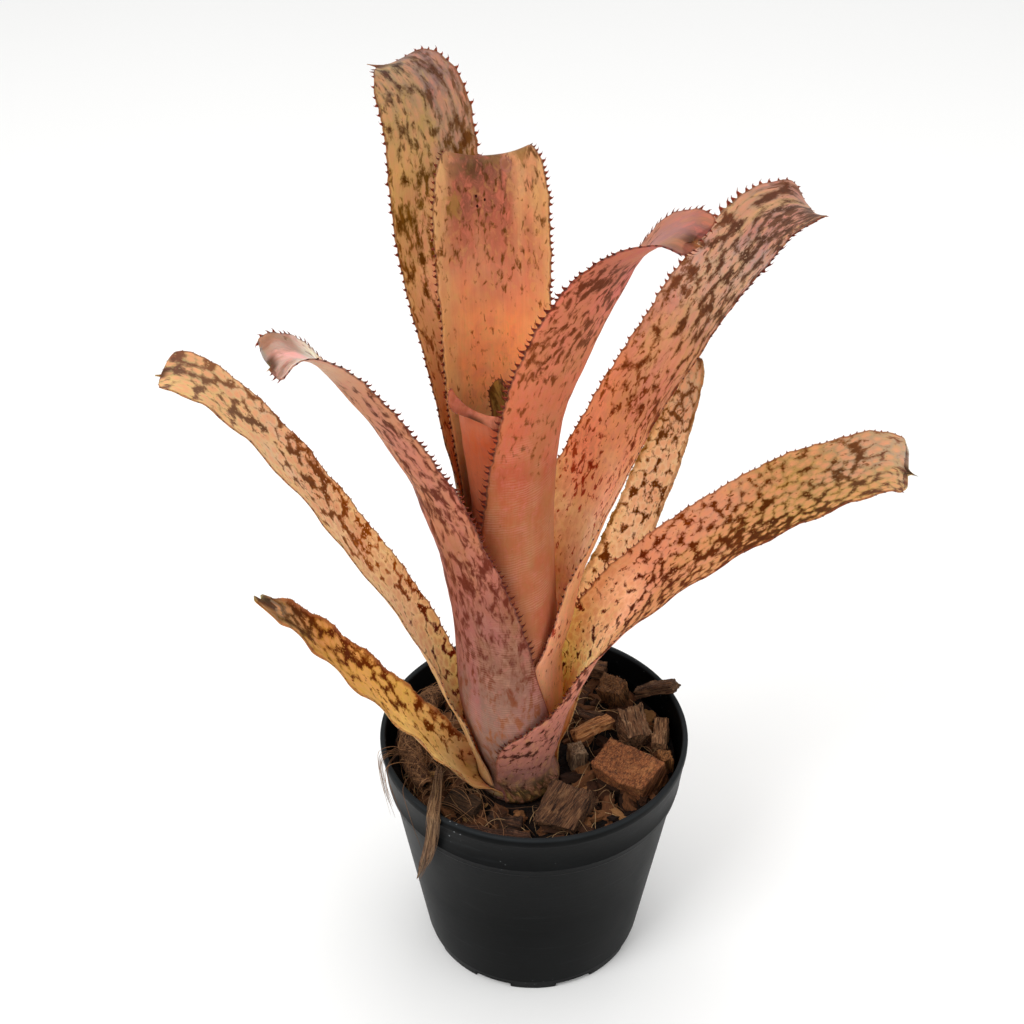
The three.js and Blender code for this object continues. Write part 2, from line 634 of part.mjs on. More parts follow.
// Inner radius of the pot wall less the gap round the filling
function mixRadius(height) {
  const share = (height - HEEL_HEIGHT) / (BAND_FOOT - 2 - HEEL_HEIGHT);
  return HEEL_INSIDE + (BODY_TOP_INSIDE - HEEL_INSIDE) * share - MIX_WALL_GAP;
}

function mixGeometry(seats) {
  const bottom = NOTCH_HEIGHT + POT_WALL + SEAT_GAP;
  const ring = (radius, heightAt) => {
    const points = [];
    for (let j = 0; j < MIX_SECTORS; j += 1) {
      const angle = j / MIX_SECTORS * 2 * Math.PI;
      const [x, y] = [radius * Math.cos(angle), radius * Math.sin(angle)];
      points.push([x, y, heightAt(x, y)]);
    }
    return points;
  };
  const rings = [ring(mixRadius(bottom) - 1.5, () => bottom)];
  for (const height of MIX_LEVELS) rings.push(ring(mixRadius(height), () => height));
  for (let i = 0; i < MIX_RINGS; i += 1) rings.push(ring(MIX_TOP_RADIUS * (1 - i / MIX_RINGS), mixHeight));
  let mix = toSolid(skin(rings, [0, 0, bottom], [0, 0, mixHeight(0, 0)]));

  // Small chips grown into the surface, clear of the stem and of the wad of fibre
  const draw = draws(MIX_SEED);
  let placed = 0;
  while (placed < SMALL_CHIPS) {
    const radius = Math.sqrt(draw(0, 1)) * SMALL_CHIP_REACH;
    const angle = draw(0, 2 * Math.PI);
    const [x, y] = [radius * Math.cos(angle), radius * Math.sin(angle)];
    const size = [draw(8, 15), draw(3, 6.5), draw(2.6, 5)];
    const turn = [draw(-14, 14), 0, draw(0, 180)];
    const underWad = x < -30 && radius > WAD_RADIUS - 16;
    if (stemDistance(x, y) > STEM_CLEARING && !underWad) {
      const at = [x, y, mixHeight(x, y) + size[2] / 5];
      mix = mix.add(toSolid(chipGeometry({ at, size, turn, stray: 0.8 }, MIX_SEED + placed, 0, 1)));
      placed += 1;
    }
  }
  for (const seat of seats) mix = mix.subtract(seat);
  return toGeometry(largestBody(mix));
}

// A slim fibre with four sides along a curve
function fibreGeometry(route) {
  const curve = new THREE.CatmullRomCurve3(route.map((point) => new THREE.Vector3(...point)));
  const half = FIBRE_THICKNESS / 2;
  const shape = new THREE.Shape();
  shape.moveTo(half, 0);
  shape.lineTo(0, half);
  shape.lineTo(-half, 0);
  shape.lineTo(0, -half);
  return new THREE.ExtrudeGeometry(shape, { steps: 6, extrudePath: curve, bevelEnabled: false });
}

// A point in the wad: share along it, angle round its core and how far out from the core
function wadPoint(share, around, reach) {
  const angle = (WAD_START + (WAD_END - WAD_START) * share) * DEGREE;
  const swell = reach * (0.55 + 0.45 * Math.sin(Math.PI * share));
  const radius = WAD_RADIUS + swell * Math.sin(around);
  const height = Math.max(WAD_FLOOR, WAD_HEIGHT + swell * Math.cos(around));
  return [radius * Math.cos(angle), radius * Math.sin(angle), height];
}

// A wad of fibre along the left inside of the rim: a slim core with strands looped round it
function wadGeometry(seats) {
  const rings = [];
  for (let i = 0; i <= WAD_SECTIONS; i += 1) {
    const ring = [];
    for (let j = 0; j < WAD_SIDES; j += 1) {
      ring.push(wadPoint(i / WAD_SECTIONS, j / WAD_SIDES * 2 * Math.PI, WAD_CORE));
    }
    rings.push(ring);
  }
  let wad = toSolid(skin(rings, wadPoint(0, 0, 0), wadPoint(1, 0, 0)));
  const draw = draws(WAD_SEED);
  for (let n = 0; n < FIBRE_COUNT; n += 1) {
    const from = draw(0.02, 0.6);
    const to = from + draw(0.25, 0.4);
    const turn = draw(0, 2 * Math.PI);
    const twist = draw(-3.4, 3.4);
    const route = [0, 0.25, 0.5, 0.75, 1].map((share) => {
      const reach = WAD_CORE - 0.6 + WAD_LOOP * Math.sin(Math.PI * share);
      return wadPoint(from + (to - from) * share, turn + twist * share, reach);
    });
    wad = wad.add(toSolid(fibreGeometry(route)));
  }
  for (const seat of seats) wad = wad.subtract(seat);
  return toGeometry(largestBody(wad));
}

// The flat fibre strand that comes out of the wad, crosses the lip and hangs down the outside, as
// [x, y, z, width]
const STRAND = [
  [-45.6, -15, 117, 3.5], [-46.1, -27, 120, 5], [-46.4, -41, 124.5, 6], [-46.6, -51.5, 129.2, 6.5],
  [-47.1, -59.4, 129.3, 7], [-47.2, -60.2, 125.7, 7], [-47.8, -59.4, 119, 7], [-49.3, -58.6, 108, 6.5],
  [-51.4, -55.4, 96, 5.5], [-53.8, -50.8, 83.5, 3.5], [-56.3, -45.6, 71.6, 1.2],
];
const STRAND_LIP = 5;
const STRAND_OUTLINE = [[-0.5, 0], [-0.3, -0.5], [0.3, -0.5], [0.5, 0], [0.3, 0.5], [-0.3, 0.5]];

function strandGeometry(grow) {
  const places = STRAND.map(([x, y, z]) => new THREE.Vector3(x, y, z));
  const along = new THREE.Vector3(-places[STRAND_LIP].y, places[STRAND_LIP].x, 0).normalize();
  const rings = STRAND.map(([, , , width], i) => {
    const before = places[Math.max(0, i - 1)];
    const after = places[Math.min(places.length - 1, i + 1)];
    const normal = after.clone().sub(before).cross(along).normalize();
    return STRAND_OUTLINE.map(([x, y]) => places[i].clone()
      .addScaledVector(along, x * (width + 2 * grow))
      .addScaledVector(normal, y * (STRAND_THICKNESS + 2 * grow)).toArray());
  });
  return skin(rings, places[0].toArray(), places[places.length - 1].toArray());
}

const plant = new THREE.Group();
plant.position.set(...PLANT_BASE);
plant.rotation.y = -PLANT_LEAN;
plant.add(named('stem', stemGeometry(), 0x6d4f35, 0.8));
for (const [name, leaf] of Object.entries(LEAVES)) {
  plant.add(named(name, leafGeometry(leaf), leaf.color, 0.5));
}
plant.updateMatrixWorld(true);

const part = new THREE.Group();
part.add(named('pot', potGeometry(), 0x23262a, 0.45));
part.add(plant);

// Chips lie in seats cut into the filling, and the stem stands in a plain hole
const hole = new THREE.CylinderGeometry(HOLE_RADIUS, HOLE_RADIUS, 2 * (STEM_DEPTH + SEAT_GAP), HOLE_SIDES)
  .rotateX(Math.PI / 2).applyMatrix4(plant.matrixWorld);
const seats = [toSolid(hole)];
Object.entries(CHIPS).forEach(([name, chip], i) => {
  part.add(named(name, chipGeometry(chip, CHIP_SEED + i, 0, 2), chip.color, 0.9));
  seats.push(toSolid(chipGeometry(chip, CHIP_SEED + i, SEAT_GAP, 2)));
});
part.add(named('growing_mix', mixGeometry(seats), 0x1a120d, 0.95));
part.add(named('coir_wad', wadGeometry([...seats, toSolid(strandGeometry(SEAT_GAP))]), 0x7a5b3a, 0.9));
part.add(named('coir_strand', strandGeometry(0), 0x8b6a45, 0.9));

export default part;
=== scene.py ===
# Potted kolan billbergia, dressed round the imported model. The tables are in millimetres and the
# scene in metres. The front, where the tube opens and the fibre strand hangs out, faces -Y.
import math
import random
from statistics import NormalDist

import bpy
import numpy as np
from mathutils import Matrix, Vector, noise


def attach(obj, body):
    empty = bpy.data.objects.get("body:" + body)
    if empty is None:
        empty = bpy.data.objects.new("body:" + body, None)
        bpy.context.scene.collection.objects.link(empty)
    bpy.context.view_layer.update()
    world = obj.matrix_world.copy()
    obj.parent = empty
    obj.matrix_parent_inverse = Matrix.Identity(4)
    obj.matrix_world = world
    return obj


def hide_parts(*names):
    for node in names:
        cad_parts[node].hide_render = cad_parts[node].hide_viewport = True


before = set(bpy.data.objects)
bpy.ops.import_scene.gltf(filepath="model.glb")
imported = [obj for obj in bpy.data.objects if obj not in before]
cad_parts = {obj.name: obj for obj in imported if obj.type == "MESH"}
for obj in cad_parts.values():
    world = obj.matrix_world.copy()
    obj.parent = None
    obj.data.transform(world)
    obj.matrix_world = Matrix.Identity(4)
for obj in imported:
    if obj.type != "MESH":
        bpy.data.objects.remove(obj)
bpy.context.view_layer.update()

millimetre = 0.001
print("frame loaded")


# Shader helpers
def paint(code):
    # a hex colour as Blender wants it
    parts = [int(code[i:i + 2], 16) / 255 for i in (1, 3, 5)]
    return tuple(p / 12.92 if p <= 0.04045 else ((p + 0.055) / 1.055) ** 2.4 for p in parts) + (1,)


class Link:
    # one socket of a material: sums on it add Math nodes, or Vector Math where it isn't a plain number
    def __init__(self, finish, socket):
        self.finish = finish
        self.socket = socket

    def joined(self, operation, first, second):
        many = any(isinstance(x, Link) and x.socket.type != "VALUE" for x in (first, second))
        many = many or any(isinstance(x, tuple) for x in (first, second))
        if many:
            first, second = [(x, x, x) if isinstance(x, (int, float)) else x for x in (first, second)]
        kind = "VectorMath" if many else "Math"
        return self.finish.node(kind, {"operation": operation}, {0: first, 1: second})

    def __add__(self, other):
        return self.joined("ADD", self, other)

    __radd__ = __add__

    def __sub__(self, other):
        return self.joined("SUBTRACT", self, other)

    def __rsub__(self, other):
        return self.joined("SUBTRACT", other, self)

    def __mul__(self, other):
        return self.joined("MULTIPLY", self, other)

    __rmul__ = __mul__

    def sine(self):
        return self.finish.node("Math", {"operation": "SINE"}, {0: self})

    def absolute(self):
        return self.finish.node("Math", {"operation": "ABSOLUTE"}, {0: self})

    def size(self):
        return self.finish.node("VectorMath", {"operation": "LENGTH"}, {0: self}, "Value")

    def rise(self, low, high):
        # 0 below low, 1 above high, and soft between them
        return self.finish.node("MapRange", {"interpolation_type": "SMOOTHSTEP"},
                                {0: self, 1: low, 2: high})

    def parts(self):
        return [self.finish.node("SeparateXYZ", {}, {0: self}, axis) for axis in "XYZ"]


class Finish:
    # a material while it is put together
    def __init__(self, name):
        self.material = bpy.data.materials.new(name)
        self.material.use_nodes = True
        self.tree = self.material.node_tree
        self.tree.nodes.clear()

    def node(self, kind, settings, values, out=0):
        made = self.tree.nodes.new("ShaderNode" + kind)
        for name, value in settings.items():
            if name == "stops":
                self.fillRamp(made.color_ramp, value)
            else:
                setattr(made, name, value)
        for name, value in values.items():
            if isinstance(value, Link):
                self.tree.links.new(value.socket, made.inputs[name])
            else:
                made.inputs[name].default_value = value
        return Link(self, made.outputs[out])

    def fillRamp(self, band, stops):
        while len(band.elements) < len(stops):
            band.elements.new(0.5)
        for element, (place, tone) in zip(band.elements, stops):
            element.position = place
        for element, (place, tone) in zip(band.elements, stops):
            element.color = paint(tone) if isinstance(tone, str) else (tone, tone, tone, 1)

    def ramp(self, at, stops):
        return self.node("ValToRGB", {"stops": stops}, {0: at})

    def level(self, at, stops):
        # a number that follows a ramp of numbers
        return self.node("RGBToBW", {}, {0: self.ramp(at, stops)})

    def mark(self, name, out="Vector"):
        return self.node("Attribute", {"attribute_name": name}, {}, out)

    def noise(self, at, scale=1.0, detail=2.0, rough=0.5, warp=0.0, out=0):
        return self.node("TexNoise", {}, {"Vector": at, "Scale": scale, "Detail": detail,
                                          "Roughness": rough, "Distortion": warp}, out)

    def cells(self, at, scale=1.0):
        return self.node("TexVoronoi", {}, {"Vector": at, "Scale": scale}, "Distance")

    def mix(self, share, first, second):
        first, second = [paint(x) if isinstance(x, str) else x for x in (first, second)]
        return self.node("Mix", {"data_type": "RGBA"}, {0: share, 6: first, 7: second}, 2)

    def shade(self, colour, value):
        return self.node("HueSaturation", {}, {"Color": colour, "Value": value})

    def close(self, colour, rough, height=None, strength=0.5, depth=0.0004, gloss=0.4, flesh=0.0):
        # flesh is how much light passes through, as in a leaf
        values = {"Base Color": colour, "Roughness": rough, "Specular IOR Level": gloss}
        if flesh:
            values.update({"Subsurface Weight": flesh, "Subsurface Radius": (1.0, 0.6, 0.35),
                           "Subsurface Scale": 0.004})
        if height is not None:
            values["Normal"] = self.node("Bump", {}, {"Strength": strength, "Distance": depth,
                                                      "Height": height})
        shader = self.node("BsdfPrincipled", {}, values)
        end = self.tree.nodes.new("ShaderNodeOutputMaterial")
        self.tree.links.new(shader.socket, end.inputs["Surface"])
        return self.material


# Mesh helpers
class Heap:
    # closed shells gathered into one mesh, with marks that the finishes read
    def __init__(self):
        self.points, self.faces, self.marks, self.count, self.looks = [], [], {}, 0, []

    def add(self, points, faces, look=0, **marks):
        self.points.append(np.asarray(points, float))
        self.faces += [[corner + self.count for corner in face] for face in faces]
        self.looks += [look] * len(faces)
        for name, values in marks.items():
            values = np.asarray(values, float)
            if values.ndim == 0 or len(values) != len(points):  # one value for the whole shell
                values = np.tile(values, (len(points),) + (1,) * values.ndim)
            self.marks.setdefault(name, []).append(values)
        self.count += len(points)

    def fibre(self, route, thick, ends, tone):
        # a thin tube, thinner at its ends as a row of shares and a row of parts say
        radii = thick * np.interp(np.linspace(0, 1, len(route)), *ends)
        self.add(*tube(route, radii), tone=tone)

    def piece(self, name, finishes, smooth=True, sharp=None):
        mesh = bpy.data.meshes.new(name)
        points = np.concatenate(self.points) * millimetre
        mesh.from_pydata(points.tolist(), [], self.faces)
        for mark, values in self.marks.items():
            values = np.concatenate(values)
            isVector = values.ndim == 2
            kept = mesh.attributes.new(mark, "FLOAT_VECTOR" if isVector else "FLOAT", "POINT")
            kept.data.foreach_set("vector" if isVector else "value", values.astype(np.float32).ravel())
        for finish in finishes:
            mesh.materials.append(finish)
        mesh.polygons.foreach_set("use_smooth", [smooth] * len(mesh.polygons))
        mesh.polygons.foreach_set("material_index", self.looks)
        if sharp:
            mesh.set_sharp_from_angle(angle=math.radians(sharp))
        mesh.update()
        made = bpy.data.objects.new(name, mesh)
        bpy.context.scene.collection.objects.link(made)
        return made


def settle(piece, slot, *nodes):
    # the piece rides with the plant pot and stands for these nodes of the model
    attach(piece, "root")
    if nodes:
        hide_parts(*nodes)
    return piece


def unit(vectors):
    return vectors / np.maximum(np.linalg.norm(vectors, axis=-1, keepdims=True), 1e-12)


def ease(t):
    t = np.clip(t, 0, 1)
    return t * t * (3 - 2 * t)


def walls(count, sides):
    # the quads between neighbouring rings of points
    return [[i * sides + j, i * sides + (j + 1) % sides, (i + 1) * sides + (j + 1) % sides,
             (i + 1) * sides + j] for i in range(count - 1) for j in range(sides)]


def caps(count, sides):
    return [list(range(sides))[::-1], [(count - 1) * sides + j for j in range(sides)]]


def tube(route, radii, sides=4):
    # a closed thin tube along a route
    route = np.asarray(route, float)
    along = unit(np.gradient(route, axis=0))
    aside = np.array([0.31, 0.22, 0.92]) if abs(along[:, 2]).mean() < 0.8 else np.array([0.9, 0.3, 0.1])
    first = unit(np.cross(along, aside))
    second = np.cross(along, first)
    angles = (np.arange(sides) / sides * 2 * math.pi)[None, :, None]
    ring = first[:, None] * np.cos(angles) + second[:, None] * np.sin(angles)
    points = (route[:, None] + ring * np.asarray(radii)[:, None, None]).reshape(-1, 3)
    return points, walls(len(route), sides) + caps(len(route), sides)


# Pot
pot = {
    "sides": 168,
    "plastic": "#050606",
    # lip is a painted highlight along the rolled lip
    "lip": "#2E3133",
    "dust": "#8E9294",
    "notches": 8, "notchWidth": 19, "notchHeight": 3.4, "notchDepth": 20, "wall": 1.5,
    "foot": 53.6, "drainRadius": 4, "drainInset": 9,
    "outside": [(0, 0), (52.4, 0), (53.2, 0.35), (53.6, 1.3), (54.7, 6.1), (55, 6.9), (55.05, 7.4),
                (55.25, 8.4), (62.6, 53.7), (70.05, 99.6), (70.35, 100.3), (71.1, 100.75), (71.55, 101.2),
                (71.85, 102), (72.25, 105), (72.5, 105.25), (72.55, 105.6), (72.5, 105.9), (74.45, 122.6),
                (74.7, 123), (74.95, 124.2), (75, 126.6), (74.85, 127.4), (74.4, 127.9), (73.9, 128)],
    "inside": [(73, 127.95), (72.6, 127.6), (72.3, 126.4), (70.9, 104), (70.4, 102.4), (69, 100.2),
               (68.6, 98.6), (53.5, 7), (52.6, 4.2), (50.5, 2), (0, 2)],
}


def lathe(profile, sides):
    points, faces, rings = [], [], []
    for radius, height in profile:
        if radius == 0:
            rings.append([len(points)])
            points.append((0, 0, height))
        else:
            rings.append(list(range(len(points), len(points) + sides)))
            points += [(radius * math.cos(a), radius * math.sin(a), height)
                       for a in (2 * math.pi * j / sides for j in range(sides))]
    for low, high in zip(rings, rings[1:]):
        for j in range(sides):
            k = (j + 1) % sides
            if len(low) == 1:
                faces.append([low[0], high[k], high[j]])
            elif len(high) == 1:
                faces.append([low[j], low[k], high[0]])
            else:
                faces.append([low[j], low[k], high[k], high[j]])
    return points, faces


def block(size, middle, turn):
    # a box with its middle out along X, then turned about Z
    points = [(middle[0] + x * size[0] / 2, middle[1] + y * size[1] / 2, middle[2] + z * size[2] / 2)
              for x in (-1, 1) for y in (-1, 1) for z in (-1, 1)]
    c, s = math.cos(turn), math.sin(turn)
    points = [(x * c - y * s, x * s + y * c, z) for x, y, z in points]
    return points, [(0, 1, 3, 2), (4, 6, 7, 5), (0, 4, 5, 1), (2, 3, 7, 6), (0, 2, 6, 4), (1, 5, 7, 3)]


def carve(piece, other, operation):
    change = piece.modifiers.new("carve", "BOOLEAN")
    change.operation, change.object, change.solver = operation, other, "EXACT"
    bake(piece)
    bpy.data.objects.remove(other)


def bake(piece):
    # the modifiers of a piece become its mesh
    seen = piece.evaluated_get(bpy.context.evaluated_depsgraph_get())
    mesh = bpy.data.meshes.new_from_object(seen)
    piece.modifiers.clear()
    piece.data = mesh


def potFinish():
    plastic = Finish("black nursery plastic")
    at = plastic.node("TexCoord", {}, {}, "Object")
    height = at.parts()[2] * 1000
    mould = plastic.noise(at, 38, 3, 0.6)
    grain = plastic.noise(at, 900, 2, 0.6)
    scuff = plastic.noise(at * (1, 1, 14), 24, 4, 0.65, 0.4)
    worn = scuff.rise(0.58, 0.76)
    colour = plastic.mix(mould.rise(0.35, 0.7), pot["plastic"], "#0A0B0C")
    colour = plastic.mix(worn * 0.22, colour, "#2A2E30")
    # painted highlight: the rolled lip lighter where it catches the light
    lipHighlight = height.rise(126.2, 127.7)
    colour = plastic.mix(lipHighlight * (0.35 + 0.5 * mould), colour, pot["lip"])
    speck = plastic.cells(at, 420).rise(0.2, 0.1) * plastic.noise(at, 60, 2, 0.6).rise(0.57, 0.68)
    nearLip = height.rise(98, 104) * 0.75 + height.rise(12, 3) * 0.3
    colour = plastic.mix(speck * nearLip, colour, pot["dust"])
    film = plastic.noise(at * (1, 1, 0.5), 15, 3, 0.55).rise(0.5, 0.75)
    colour = plastic.mix(film * 0.16, colour, "#2C2E2D")
    rough = 0.36 + mould * 0.12 - worn * 0.05 + film * 0.1
    bumps = grain * 0.35 + mould * 0.4 + scuff * 0.3
    return plastic.close(colour, rough, bumps, 0.3, 0.0003, gloss=0.04)


def makePot():
    sides = pot["sides"]
    shell, body = Heap(), Heap()
    shell.add(*lathe(pot["outside"] + pot["inside"], sides))
    body.add(*lathe(pot["outside"] + [(0, 128)], sides))
    vessel = shell.piece("pot_moulded", [potFinish()])
    cover = body.piece("cover", [])
    roofs, hollows, drains = Heap(), Heap(), Heap()
    middle = pot["foot"] + 2 - pot["notchDepth"] / 2
    for i in range(pot["notches"]):
        turn = (i + 0.5) / pot["notches"] * 2 * math.pi
        roofs.add(*block((pot["notchDepth"] + 4, pot["notchWidth"] + 2 * pot["wall"],
                          2 * (pot["notchHeight"] + pot["wall"])), (middle, 0, 0), turn))
        hollows.add(*block((pot["notchDepth"] + 8, pot["notchWidth"], 2 * pot["notchHeight"]),
                           (middle + 4 + pot["wall"], 0, 0), turn))
        points, faces = lathe([(0, -8), (pot["drainRadius"], -8), (pot["drainRadius"], 8), (0, 8)], 28)
        out = pot["foot"] - pot["drainInset"]
        drains.add([(x + out * math.cos(turn), y + out * math.sin(turn), z) for x, y, z in points], faces)
    roof = roofs.piece("roof", [])
    carve(roof, cover, "INTERSECT")
    carve(vessel, roof, "UNION")
    carve(vessel, hollows.piece("hollow", []), "DIFFERENCE")
    carve(vessel, drains.piece("drain", []), "DIFFERENCE")
    mesh = vessel.data
    mesh.polygons.foreach_set("use_smooth", [True] * len(mesh.polygons))
    mesh.set_sharp_from_angle(angle=math.radians(38))
    return settle(vessel, "pot", "pot")


makePot()
print("pot made")

# Leaves
plantBase = np.array([-8.0, -14.0, 112.6])
plantLean = 0.04
nest = {"radius": 6.4, "step": 1.45, "swell": 7.2, "swellStep": 0.45, "pitch": 14, "steps": 4,
        "tubePitch": 36, "outerRing": 9, "slope": 2.386}
bladeShape = {"thick": 0.95, "margin": 0.6, "pitch": 1.75, "columns": 24, "samples": 1500, "tipFrom": 3.2,
              "tipGaps": [2.6, 1.9, 1.3, 0.85, 0.5, 0.25, 0.08], "endSteps": [0.0, 0.35, 0.8, 1.0]}

# What most leaves share: how far a margin waves and strays, the tones of the thorns, and how the markings
# lie on the skin and thin out on the back.
usualLeaf = {
    "wave": 0, "flank": 0.3, "ragged": 0.22, "apron": [], "apronTurn": 0, "thorn": ("#4E221A", "#2A120E"),
    "rough": 0.5, "plainBack": 0.22, "scurfEnd": 1.3, "bandSlant": 0.25, "marks": [],
}
usualNet = {"warp": 0.8, "wander": 0.6, "lean": 0}
